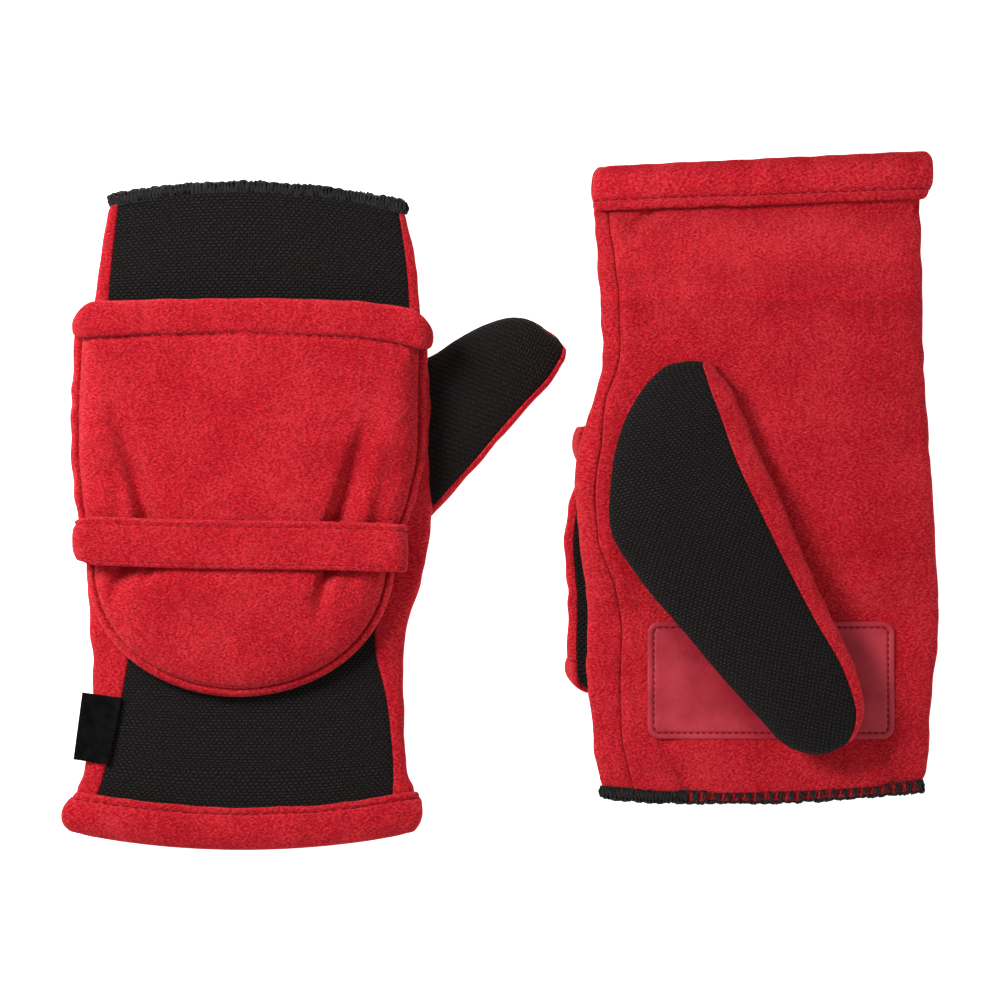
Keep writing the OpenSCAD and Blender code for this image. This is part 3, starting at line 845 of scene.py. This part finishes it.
def opening_rim(side, edge_h, count):
    """The finger opening's cut edge. Returns its grid and normals and the length round it."""
    end = np.array(BODY[side][-1], float)
    # It is thinner than the hand behind it, so that the turned-up cap lies over it.
    thinner = [-0.2, 0.2, 0.7, -1.1, 0, 0, 0, 0]
    rows = np.array([end + [h, *thinner] for h in np.linspace(-0.6, edge_h - 0.5, 7)])
    grid, length = resample(tube(rows, FULL_TURN), np.arange(count) / count)
    normals = normals_of(grid, wrap=True)
    perimeter = length.mean()
    w, v = np.meshgrid(np.arange(count) / count * perimeter, np.linspace(0, edge_h, 7))
    ripple = noise(w, v, 2.4, 41) * 0.25 + 0.2 * noise(w, v, 7, 42)
    grid = grid + normals * ripple[..., None]
    grid[..., 1] += 0.35 * noise(w, v, 3.1, 43) * np.linspace(0, 1, 7)[:, None]
    points, faces, places = sheet_solid(grid, 1.3, 0.5, np.stack([w, v], -1), wrap=True)
    # Its palm half is red fleece and its back half black.
    slots = (points[faces].mean(1)[:, 2] > 9.7).astype(int)
    rim = make("opening_rim", side, points, faces, [RED, BLACK], places, slots)
    dress(rim, side, "glove", "black_weave")
    return grid, normals, perimeter


def overlock(side):
    """The looped threads that bind the finger opening: bars over the edge, each with a leg out and a leg
    back, a chain along the edge, and the needle line at the bars' feet."""
    pitch, count = 3.0, 420
    grid, normals, perimeter = opening_rim(side, 2.7, count)
    parts = Parts()
    stitches = round(perimeter / pitch)
    rng = np.random.default_rng(7 if side == "left" else 8)
    seam_row, half_row, edge_row = grid[0], grid[3], grid[-1]
    n_seam, n_half, n_edge = normals[0], normals[3], normals[-1]
    # The way out for threads that go over the edge: nearly along the hand.
    over = [0, 1, 0.01]

    def at(row, k):
        s = (k / stitches * count) % count
        i = int(s)
        f = s - i
        return row[i % count] * (1 - f) + row[(i + 1) % count] * f

    def bar(k, size, jog, tall):
        foot = at(seam_row, k - 0.1) + at(n_seam, k) * 0.35 - np.array([0, 0.3 * jog[4], 0])
        shin = at(half_row, k - 0.06 + jog[0] / 3) + at(n_half, k) * (0.5 + jog[1])
        top = at(edge_row, k + jog[2] / 3) + at(n_edge, k) * 0.25 + np.array([0, tall, 0])
        back = at(half_row, k + 0.1 + jog[3] / 3) + at(n_half, k) * 0.4
        end = at(seam_row, k + 0.16) + at(n_seam, k) * 0.2
        thread(parts, [foot, shin, top, back, end], over, np.array([0.8, 1, 1.15, 1, 0.8]) * size)

    def thin_leg(k, place):
        shin = at(half_row, place) + at(n_half, k) * 0.25
        thread(parts, [at(seam_row, place - 0.1), shin, at(edge_row, place + 0.1)], over, 0.16)

    chain, chain_size, needle, needle_size = [], [], [], []
    for k in range(stitches):
        jog = rng.uniform(-0.28, 0.28, 8)
        tall = rng.uniform(-0.1, 0.45)
        x, _, z = at(seam_row, k)
        # Where the binding is dense, two more bars stand between; elsewhere two thin legs.
        dense = 1.0 if side == "left" or z > 9 else float(smooth((x - 15) / 6))
        bar(k, 0.42 + 0.14 * dense + 0.3 * jog[6], jog, tall)
        for more in (0.33, 0.66):
            if dense > 0.4:
                bar(k + more, 0.5 + 0.3 * jog[7], jog[::-1], tall * 0.7)
            else:
                thin_leg(k, k + more)
        for part in range(4):
            place = k + part / 4
            knot = math.sin(math.pi * (part + 0.5) / 4)
            lift = np.array([0, 0.05 + 0.3 * knot + 0.6 * tall * knot, 0])
            inwards = at(n_edge, k) * (0.4 + 0.3 * math.cos(math.pi * part / 2))
            chain.append(at(edge_row, place) - inwards + lift)
            chain_size.append(0.26 + 0.26 * dense + 0.14 * knot + 0.35 * jog[part])
            needle.append(at(seam_row, place) + at(n_seam, k) * (0.12 + 0.2 * knot))
            needle_size.append(0.16 + 0.1 * dense + 0.06 * knot)
    thread(parts, chain + chain[:1], at(n_edge, 0), chain_size + chain_size[:1], sides=7, taper=1)
    thread(parts, needle + needle[:1], over, needle_size + needle_size[:1], taper=1)
    net = parts.make("overlock_threads", side, BLACK_THREAD)
    dress(net, side, "glove", "black_thread", "finger_overlock")


def wrist_elastic(side):
    """The braid that gathers the wrist, inside the palm."""
    x = np.linspace(-22, 16, 110)
    y = 46 + graded(6, 0.5, 0.3)
    yy, xx = np.meshgrid(y, x[::-1], indexing="ij")
    rib = 0.12 * np.sin(2 * math.pi * xx / 0.9)
    grid = np.stack([xx, yy, 2.95 + rib * bell(yy - 49, 3.2)], -1)
    obj = cloth_piece("wrist_braid", side, grid, np.stack([xx, yy], -1), 0.8, 0.3, ELASTIC)
    dress(obj, side, "glove", "elastic", "wrist_elastic")


# ---------------------------------------------------------------- grip patch

def palm_z(side, x, y):
    """Height of the palm's outside face."""
    table = BODY[side]
    u = np.interp(np.ravel(y), [r[0] for r in table], range(len(table)))
    rows = rows_at(table, u, straight=(3, 4))
    c = (2 * np.ravel(x) - rows[:, 1] - rows[:, 2]) / (rows[:, 2] - rows[:, 1])
    full = (1 - np.clip(np.abs(c), 0, 1) ** ROUNDNESS) ** (1 / ROUNDNESS)
    z = mix(rows[:, 4], rows[:, 3], 0.5) - (rows[:, 4] - rows[:, 3]) / 2 * full
    return z.reshape(np.shape(x))


def round_rectangle(width, height, radius, per_corner=10, per_side=(60, 26)):
    """Outline of a rectangle with round corners, anticlockwise from the right side's upper end."""
    corners = [(1, 1), (-1, 1), (-1, -1), (1, -1)]

    def on_arc(k, degrees):
        sx, sy = corners[k % 4]
        a = math.radians(degrees)
        x = sx * (width / 2 - radius) + radius * math.cos(a)
        return x, sy * (height / 2 - radius) + radius * math.sin(a)

    points = []
    for k in range(4):
        points += [on_arc(k, 90 * k + 90 * i / per_corner) for i in range(per_corner)]
        (x0, y0), (x1, y1) = on_arc(k, 90 * (k + 1)), on_arc(k + 1, 90 * (k + 1))
        n = per_side[k % 2]
        points += [(mix(x0, x1, i / n), mix(y0, y1, i / n)) for i in range(n)]
    return np.array(points)


def grip_patch(side):
    """The faux-leather patch on the palm: rings of its outline inwards to its middle line."""
    inset = [0, 0.03, 0.12, 0.3, 0.6, 0.9, 1.2, 1.45, 1.65, 1.8, 1.95, 2.15, 2.4, 2.8, 3.4, 4.2]
    sewn_at, full_depth = 1.8, 12
    wide, high = PATCH_SIZE
    rings = [round_rectangle(wide - 2 * d, high - 2 * d, max(PATCH_R - d, 0.4)) for d in inset]
    core = rings[-1]
    half_spine = (wide - high) / 2
    spine = np.stack([np.clip(core[:, 0], -half_spine, half_spine), 0 * core[:, 1]], 1)
    inwards = np.linspace(0.09, 1, 11)
    flat = np.stack(rings + [mix(core, spine, t) for t in inwards])
    d = np.array([*inset, *(inset[-1] + inwards * full_depth)])[:, None]
    x, y = flat[..., 0] + PATCH_CENTRE[0], flat[..., 1] + PATCH_CENTRE[1]
    proud = 0.85 - 0.55 * (1 - dome(d / 0.45)) - 0.45 * bell(d - sewn_at, 0.28) + 0.05 * noise(x, y, 9, 51)
    palm = palm_z(side, x, y) + thumb_valley(side, x, y)
    top, under = [np.stack([x, y, z], -1).reshape(-1, 3) for z in (palm - proud, palm - 0.25)]
    over_ids = np.arange(x.size).reshape(x.shape)
    under_ids = over_ids + x.size
    faces = np.vstack([grid_faces(over_ids, True), grid_faces(under_ids, True)[:, ::-1],
                       grid_faces(np.stack([under_ids[0], over_ids[0]]), True)])
    points = np.concatenate([top, under])
    obj = weld(make("patch", side, points, faces, PATCH, points[:, :2]))
    dress(obj, side, "glove", "faux_leather", "grip_patch")
    line = top.reshape(*x.shape, 3)[inset.index(sewn_at)]
    line = np.vstack([line, line[:1]]) + [0, 0, -0.12]
    sewing("patch_stitches", side, "glove", [(line, (0, 0, -1))], 1.0, 0.8, 0.24, "patch_stitching")


# ---------------------------------------------------------------- flip cap

# How far the cap's mouth sags: x, distance.
SAG = {
    "left": [(-52, -1.6), (-30, -0.5), (0, 0), (27, -1.2), (36, -2.4), (43, -4.2), (49, -5.4)],
    "right": [(-50, -0.8), (-25, 0), (15, -0.3), (35, -1.6), (46, -3), (54, -3.8)],
}


def droop(side, x, y):
    """How far the cap's mouth sags towards the wrist, most at its thumb end."""
    return np.interp(x, *zip(*SAG[side])) * smooth((y - 96) / 44)


def cap_grid(side, step, mouth=HEM_LINE, inset=0.0):
    """Grid of the cap's outline shape: columns round the U from mouth to mouth, rows inwards from the
    edge to the middle line. Returns x, y and the distance from the cap's edge."""
    table = np.stack([CAP_MID[side], CAP_HALF[side]], 1)
    run = MOUTH_Y - TIP_Y
    y_side = mouth - graded(mouth - TIP_Y, step, 0.6)[:-5]
    rows = rows_at(table, (MOUTH_Y - y_side) / run * (len(table) - 1))
    pinch = 0.026 * bell(y_side - STRAP_Y + 1, 8)
    mid, half = rows[:, 0] - 0.4 * bell(y_side - STRAP_Y, 8), rows[:, 1] * (1 - pinch) - inset
    q = np.radians(np.linspace(180, 0, round(128 / step)))
    left = np.stack([mid - half, y_side], 1)
    right = np.stack([mid + half, y_side], 1)[::-1]
    tip_half = CAP_HALF[side][4] - inset
    draw_in = 1 - 0.018 * np.abs(np.cos(q)) ** 3
    tip_x = CAP_MID[side][4] - np.sin(q) + tip_half * np.cos(q) * draw_in - 0.25 * np.abs(np.cos(q)) ** 3
    tip = np.stack([tip_x, TIP_Y - (TIP_LEN - inset) * np.sin(q)], 1)
    spine_side = np.stack([mid, y_side], 1)
    spine_tip = np.tile([CAP_MID[side][4], TIP_Y], (len(q), 1))
    edge = np.vstack([left, tip, right])
    spine = np.vstack([spine_side, spine_tip, spine_side[::-1]])
    near = np.array([0, 0.05, 0.18, 0.4, 0.7, 1.05, 1.4, 1.7, 1.95, 2.15, 2.3, 2.45, 2.65, 2.9, 3.3, 3.8,
                     4.4, 5.1, 6])
    reach = np.linalg.norm(spine - edge, axis=1)
    far = np.linspace(0, 1, round(44 / step))[1:]
    d = np.vstack([np.tile(near[:, None], (1, len(edge))), 6 + far[:, None] * (reach - 6)])
    flat = edge + (spine - edge) * (d / reach)[..., None]
    return flat[..., 0], flat[..., 1], d + inset


# Creases of the cap's fleece where the strap gathers it: start, end at the strap, depth, width on
# the right of the crease and on its left.
PLEATS = {
    "left": [((-44, 140), (-30.6, 89), 6.2, 2.5, 3.2), ((-40, 128), (-39.5, 90), 1.5, 2.4, 2.4),
             ((36.5, 142), (20.4, 89), 5.4, 2.2, 4), ((39, 124), (32, 90), 1.4, 1.8, 3),
             ((-43.5, 66), (-37.2, 81), 5, 3.4, 2), ((-32.5, 70), (-30.2, 81), 2.2, 1.3, 2.6),
             ((14.8, 61), (19.2, 81), 4.6, 2.2, 1.7), ((27, 69), (24.5, 81), 1.6, 1.4, 2.4)],
    "right": [((-38, 140), (-28, 90), 4, 7, 1.2), ((36, 132), (27, 89), 4, 1.6, 4),
              ((-39, 66), (-33, 81), 3.4, 3.2, 1.8), ((23, 63), (27, 81), 3.4, 2, 1.6)],
}


def cap_height(side, x, y, d):
    """Height of the cap's fleece face in the mitten frame."""
    rolled = smooth((86 - y) / 14)
    edge_z = CAP_BASE + 1.5
    lip_top = CAP_BASE + WOVEN_T + LIP_H
    height = edge_z + (lip_top - edge_z) * dome(d / 1.5)
    # Over the fingers, when it is turned up, the cap needs its full height nearly to its edge.
    over_hand = smooth((y - 104) / 14)
    rise = CAP_TOP + 0.5 * over_hand - lip_top
    crown = mix(0.22, 0.04, over_hand)
    reach = mix(mix(14, 7.5, over_hand), 4, smooth((y - 134) / 9))
    shoulder = dome((d - GROOVE) / reach)
    height = height + rise * ((1 - crown) * shoulder + crown * smooth((d - GROOVE) / 26))
    height = height - mix(0.45, 0.8, rolled) * bell(d - GROOVE, 0.42) * smooth((HEM_LINE - y) / 3)
    for start, end, depth, width, wide in PLEATS[side]:
        crease = ridge(x, y, start, end, width, wide) * smooth((d - 2.6) / 4)
        height = height - depth * crease * (1 - 0.65 * smooth((y - 102) / 24))
    under = bell(y - STRAP_Y, 7.5)
    height = height - (1.3 * under - 0.5 * bell(np.abs(y - STRAP_Y) - 12, 4.5)) * smooth((d - 2) / 6)
    body = smooth((d - 3) / 4)
    height = height + body * (0.5 * noise(x, y, 19, 61) + 0.25 * noise(x, y, 8, 62)) * (1 - 0.5 * over_hand)
    return height + smooth(d / 0.5) * (0.14 * noise(x, y, 3.2, 63) + 0.07 * noise(x, y, 1.9, 64))


def two_faced(name, side, top, low, x, y, material):
    """A closed sheet from its upper and lower faces, which share the edge round the U."""
    m, n = x.shape
    over_ids = np.arange(m * n).reshape(m, n)
    under_ids = over_ids + m * n
    under_ids[0] = over_ids[0]
    faces = np.vstack([grid_faces(over_ids), grid_faces(under_ids)[:, ::-1]])
    for edge in ([under_ids[:, 0], over_ids[:, 0]], [over_ids[:, -1], under_ids[:, -1]]):
        faces = np.vstack([faces, grid_faces(np.stack(edge, 1))])
    places = np.concatenate([np.stack([x, y], -1).reshape(-1, 2)] * 2)
    points = np.concatenate([top.reshape(-1, 3), low.reshape(-1, 3)])
    return weld(make(name, side, points, faces[:, ::-1], material, places))


def cap_fleece(side):
    """The cap's fleece face. Its edge turns under, round the woven back, as a red margin."""
    x, y, d = cap_grid(side, 0.8, mouth=HEM_LINE + 1.6)
    z = cap_height(side, x, y, d) - (0.5 + 0.5 * smooth(d / 4)) * smooth((y - HEM_LINE) / 1.2)
    z = z - 0.9 * bell(y - HEM_LINE + 0.7, 0.8) * smooth(d / 2)
    wave = 0.2 * np.sin(y / 2.1 + 4 * noise(0 * y, y, 15, 66)) * bell(d, 2) * smooth((y - 84) / 6)
    x_out = x + wave * np.sign(x - CAP_MID[side][2])
    y_out = y + droop(side, x, y)
    top = np.stack([x_out, y_out, z], -1)
    lowest = CAP_BASE + 0.03 + 1.47 * (1 - dome(d / 1.5)) + (WOVEN_T + 0.02) * smooth((d - 2.4) / 0.6)
    thick = mix(FLEECE_T, 1.0, smooth((y - 104) / 14))
    low_z = np.where(d < 3, lowest, np.maximum(z - thick, lowest))
    low = np.stack([x_out, y_out, np.minimum(low_z, z - 0.3 * smooth(d / 0.2))], -1)
    obj = two_faced("cap_fleece", side, top, low, x, y, RED)
    dress(obj, side, "cap", "red_fleece", "cap_palm")
    k = int(np.argmin(np.abs(d[:, 0] - GROOVE)))
    sewing("cap_stitches", side, "cap", [(top[k][3:-3] + [0, 0, 0.05], (0, 0, 1))], 2.0, 0.9, 0.14)


def cap_weave(side):
    """The cap's woven back: a flat sheet from the fold line to the tip, inside the fleece margin."""
    x, y, d = cap_grid(side, 1.4, mouth=151.5, inset=2.7)
    rim = 0.3 * (1 - dome((d - 2.7) / 0.35))
    sag = 0.04 * noise(x, y, 5, 71)
    # The mouth's corners are rounded, to stay behind the rolled hem's ends.
    rounded = 4.5 * (1 - dome((d - 2.7) / 7)) * smooth((y - 145) / 6)
    y_out = y + droop(side, x, y) * smooth((150 - y) / 8) - rounded
    top = np.stack([x, y_out, CAP_BASE + WOVEN_T - rim - 0.02 + 0 * x], -1)
    low = np.stack([x, y_out, CAP_BASE + rim + sag + 0.04], -1)
    obj = two_faced("cap_weave", side, top, low, x, y, BLACK)
    dress(obj, side, "cap", "black_weave", "cap_back")


def arch_path(x0, x1, foot, top, radius, lean=0.0):
    """Points of an arch in x and z: up one side, over and down the other, with round corners."""
    corner = np.radians(np.linspace(0, 90, 14))
    left = [(x0 + radius - radius * math.cos(a), top - radius + radius * math.sin(a)) for a in corner]
    right = [(x1 - radius + radius * math.sin(a), top - radius + radius * math.cos(a)) for a in corner]
    return np.array([(x0 + lean, foot)] + left + right + [(x1 - lean, foot)])


def band(path, rows_y, step):
    """Grid of a band along an arch path: rows across its width, columns along the arch from the thumb
    side to the pinky side, with its cloth places."""
    line = np.stack([path[:, 0], 0 * path[:, 0], path[:, 1]], 1)[None]
    length = np.linalg.norm(np.diff(line[0], axis=0), axis=1).sum()
    places = graded(length, step, 0.9) / length
    line, _ = resample(line, places)
    line = line[0][::-1]
    grid = np.repeat(line[None], len(rows_y), axis=0)
    grid[..., 1] = rows_y[:, None]
    cloth = np.stack(np.meshgrid(places * length, rows_y), -1)
    return grid, cloth


def cap_roll(side):
    """The rolled hem round the cap's mouth."""
    x0, x1 = HEM_ENDS[side]
    path = arch_path(x0, x1, CAP_BASE + 0.35, CAP_TOP + 1.1, 5.2, lean=2.0)
    v = graded(HEM_H, 0.6, 1.3)
    grid, cloth = band(path, HEM_LINE + v, 0.8)
    normals = normals_of(grid)
    across = (grid[..., 1] - HEM_LINE) / HEM_H
    end = np.minimum(grid[..., 0] - x0, x1 - grid[..., 0])
    corner = 5.5 * (1 - dome((end + 0.2) / 7))
    low_corner = 0.8 * (1 - dome((end + 0.2) / 3))
    grid[..., 1] = HEM_LINE + low_corner + across * (HEM_H - corner - low_corner)
    w, u = cloth[..., 0], cloth[..., 1]
    puff = 0.6 * np.sin(math.pi * np.clip(across, 0, 1)) ** 0.7 - 0.3
    soft = 0.12 * noise(w, u, 3, 81) + 0.14 * noise(w, u, 6, 82) + 0.4 * noise(w, u, 19, 83)
    grid = grid + normals * (puff + soft)[..., None]
    grid[..., 1] += droop(side, grid[..., 0], grid[..., 1]) * (1 - 0.25 * across)
    grid[..., 1] += 0.22 * noise(w, u, 6, 84) * across
    obj = cloth_piece("cap_roll", side, grid, cloth, 2.0, 1.3, RED, normals)
    dress(obj, side, "cap", "red_fleece", "cap_hem")
    # The hem's cloth is folded double, so the cut is twice as wide as what shows.
    # Its stitches show only over the top of the arch.
    line = grid[0][grid[0][:, 2] > CAP_TOP - 1.5] + [0, -0.1, -0.75]
    sewing("cap_roll_stitches", side, "cap", [(line, (0, 0, 1))], 2.1, 0.9, 0.17)


def strap(side):
    """The fleece strap over the folded-back cap: two long edges turned under and topstitched."""
    x0, x1 = STRAP_ENDS[side]
    path = arch_path(x0, x1, 9.6, STRAP_TOP - 0.2, 4.2, lean=1.4)
    low_y, top_stitch, low_stitch = STRAP_Y - STRAP_W / 2, STRAP_W - 1.9, 1.4
    v = graded(STRAP_W, 0.45, 0.9)
    grid, cloth = band(path, low_y + v, 0.8)
    normals = normals_of(grid)
    u, w = cloth[..., 1] - low_y, cloth[..., 0]
    groove = 0.45 * bell(u - top_stitch, 0.4) + 0.15 * bell(u - low_stitch, 0.4)
    swell = 0.25 * np.sin(math.pi * u / STRAP_W) + 0.3 * bell(u - STRAP_W + 0.9, 0.7)
    soft = 0.10 * noise(w, u, 3, 91) + 0.12 * noise(w, u, 6, 92) + 0.25 * noise(w, u, 14, 93)
    grid = grid + normals * (swell + soft - groove)[..., None]
    # Towards its ends the strap narrows a little and its corners pull in.
    end = np.minimum(grid[..., 0] - x0, x1 - grid[..., 0])
    near_end = bell(np.maximum(end, 0), 3.2)
    off = (u - STRAP_W / 2) / (STRAP_W / 2)
    near_end = near_end * (np.where(grid[..., 0] < 0, 1, 0.15) if side == "left" else 1)
    pull = near_end * (1.1 * np.abs(off) ** 3 + (1.2 * smooth(off) if side == "right" else 0))
    grid[..., 0] -= pull * np.sign(grid[..., 0])
    grid[..., 1] -= 0.9 * near_end * off
    tilt = STRAP_TILT[side]
    grid[..., 1] += 0.25 * np.sin(grid[..., 0] / 15) - tilt * (grid[..., 0] + 5)
    grid[..., 0] -= tilt * 5.5 * off * smooth((grid[..., 0] - x1 + 12) / 8) * -1
    obj = cloth_piece("strap_band", side, grid, cloth, FLEECE_T, 0.9, RED, normals)
    dress(obj, side, "glove", "red_fleece", "strap")
    rows = [int(np.argmin(np.abs(v - at))) for at in (top_stitch, low_stitch)]
    lines = [((grid[k] + normals[k] * 0.02)[8:-8], normals[k][8:-8]) for k in rows]
    sewn = sewing("strap_stitches", side, "glove", lines, 2.0, 0.8, 0.13)
    for piece in (obj, sewn):
        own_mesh(piece)


# ---------------------------------------------------------------- thumb

def thumb_grids(rows, up):
    """Grids of the thumb's woven and fleece parts, each from seam to seam round the tube."""
    a, b, h, turn, low = rows[:, 0:2], rows[:, 2:4], rows[:, 4], rows[:, 5], rows[:, 6]
    roundness, count = 2.5, 70

    def half(outside, start, stop, count):
        """Grid of one face between two places across the thumb: -1 at A, 1 at B."""
        c = np.cos(np.linspace(0, 1, count) * math.pi)[None] * -1
        c = mix(start[:, None], stop[:, None], (c + 1) / 2)
        lift = (1 - np.abs(np.clip(c, -1, 1)) ** roundness) ** (1 / roundness)
        flat = mix(a[:, None], b[:, None], ((c + 1) / 2)[..., None])
        z = low[:, None] + h[:, None] / 2 * (1 + (lift if outside else -lift))
        return np.concatenate([flat, (up * z)[..., None]], -1)

    ones = np.ones(len(rows))
    seam, under_seam = -1 + 2 * turn, 0.93 * ones
    tucked = half(False, under_seam, ones, 12)[:, -2::-1]
    woven = np.concatenate([half(True, seam, ones, count), tucked], axis=1)
    inside = half(False, -ones, under_seam, count)[:, ::-1]
    fleece_part = np.concatenate([inside, half(True, -ones, seam, 16)[:, 1:]], axis=1)
    # The columns are put in the order that makes the normals point outwards.
    i = len(rows) // 3
    centre = np.append((a[i] + b[i]) / 2, up * (low[i] + h[i] / 2))
    grids = []
    for grid in (woven, fleece_part):
        j = grid.shape[1] // 2
        inwards = np.dot(normals_of(grid)[i, j], grid[i, j] - centre) < 0
        grids.append(grid[:, ::-1] if inwards else grid)
    return grids


def thumb(side):
    """A flattened tube from the hand to the rounded tip: woven outside, fleece inside."""
    table = THUMB[side]
    rows = rows_at(table, np.linspace(0, len(table) - 1, 110))
    woven, fleece_part = thumb_grids(rows, 1 if side == "left" else -1)
    run = lengths_along((rows[:, 0:2] + rows[:, 2:4]) / 2)
    fade = smooth(np.minimum(rows[:, 4], 5) / 5)[:, None]
    made = []
    for name, grid, thick, rim, material in (("thumb_weave", woven, WOVEN_T, RIM_WOVEN, BLACK),
                                             ("thumb_fleece", fleece_part, 1.5, 0.6, RED)):
        normals = normals_of(grid)
        w = lengths_along(grid, axis=1)
        w -= w[:, -1:] / 2
        v = np.repeat(run[:, None], grid.shape[1], 1)
        if material is RED:
            soft = 0.07 * noise(w, v, 1.5, 101) + 0.12 * noise(w, v, 4.2, 102) + 0.12 * np.sin(v / 1.6)
            puff = 0.35
        else:
            soft = 0.05 * noise(w, v, 3, 103) + 0.3 * noise(w, v, 16, 104)
            puff = -0.15
        grid = grid + normals * ((soft + puff) * fade)[..., None]
        obj = cloth_piece(name, side, grid, np.stack([w, v], -1), thick, rim, material, normals)
        made.append(obj)
    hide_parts(side + "_thumb_back", side + "_thumb_gusset")
    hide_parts(side + "_thumb_palm")
    # The cloth bends between these two places, at the root of the thumb.
    for obj in made:
        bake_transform(obj)


# ---------------------------------------------------------------- tag

def tag():
    """A blank folded label sewn into the left mitten's pinky-side seam."""
    width, length, thick = 9.8, 19, 0.6
    x = graded(width, 0.35, 0.2)[::-1]
    y = graded(length, 0.35, 0.2)
    yy, xx = np.meshgrid(y - length / 2, x - width, indexing="ij")
    curl = 0.5 * smooth((-xx - 2) / 8) * (yy / length) * 1.2 + 0.35 * bell(xx + 9.8, 3)
    slant = (1.1 + (yy / length) * 1.2) * smooth((xx + 5) / 5)
    flat = np.stack([xx + slant, yy, thick + curl], -1)
    tilt, turn = math.radians(12), math.radians(-8)
    tip, spin = Matrix.Rotation(-tilt, 3, "Y"), Matrix.Rotation(turn, 3, "Z")
    seam_middle = np.array([-41.2, 33.5, 11.1])
    grid = flat @ np.array(spin @ tip).T + seam_middle
    obj = cloth_piece("tag_label", "left", grid, np.stack([xx, yy], -1), thick, 0.2, TAG)
    dress(obj, "left", "tag", "black_tag", "side_tag")


# ---------------------------------------------------------------- studio

def floor():
    """White paper just under the mittens, bright enough to show as plain white."""
    bpy.ops.mesh.primitive_plane_add(size=6, location=(0, 0, -0.0012))
    paper = bpy.context.object
    paper.name = "floor"
    g = Graph("white_paper")
    grain = g.noise(g.node("TexCoord").outputs["Object"], 900, detail=2, dimensions="3D")
    colour = g.ramp(grain, [(0.3, (0.86, 0.86, 0.86)), (0.7, (0.9, 0.9, 0.9))])
    g.finish(colour=colour, rough=0.9, specular=0.1)
    g.put(g.shader.inputs["Emission Color"], (1, 1, 1, 1))
    g.put(g.shader.inputs["Emission Strength"], 1.0)
    paper.data.materials.append(g.material)


def add(name, data, place):
    """An object for a lamp or camera."""
    obj = bpy.data.objects.new(name, data)
    obj.location = place
    bpy.context.scene.collection.objects.link(obj)
    return obj


def studio():
    """Floor, light and camera: the camera looks straight down from far off, as in the photograph."""
    floor()
    world = bpy.data.worlds.new("studio")
    bpy.context.scene.world = world
    world.use_nodes = True
    background = world.node_tree.nodes["Background"].inputs
    background["Color"].default_value = (1, 1, 1, 1)
    background["Strength"].default_value = 0.33
    # Main light over the far left, a weak fill from the near right, both large and soft.
    for name, place, aim, power, size, spread in (
            ("main", (-0.58, 0.39, 0.62), (-0.07, 0.03, 0.0), 0.93, 0.34, 50),
            ("fill", (0.9, -0.5, 1.1), (0.0, 0.0, 0.0), 3.2, 0.9, 180)):
        light = bpy.data.lights.new(name, "AREA")
        light.energy, light.size, light.spread = power, size, math.radians(spread)
        lamp = add(name, light, place)
        lamp.rotation_euler = (Vector(aim) - Vector(place)).to_track_quat("-Z", "Y").to_euler()
    height, seen, sensor = 6.0, 0.28, 36
    camera = bpy.data.cameras.new("camera")
    camera.sensor_width, camera.lens, camera.clip_end = sensor, sensor * height / seen, 50
    bpy.context.scene.camera = add("camera", camera, (0, 0, height))
    bpy.context.scene.view_settings.view_transform = "Standard"


studio()
for side in SIDES:
    hand(side)
    cuff_roll(side)
    overlock(side)
    wrist_elastic(side)
    grip_patch(side)
    cap_weave(side)
    cap_fleece(side)
    cap_roll(side)
    strap(side)
    thumb(side)
tag()
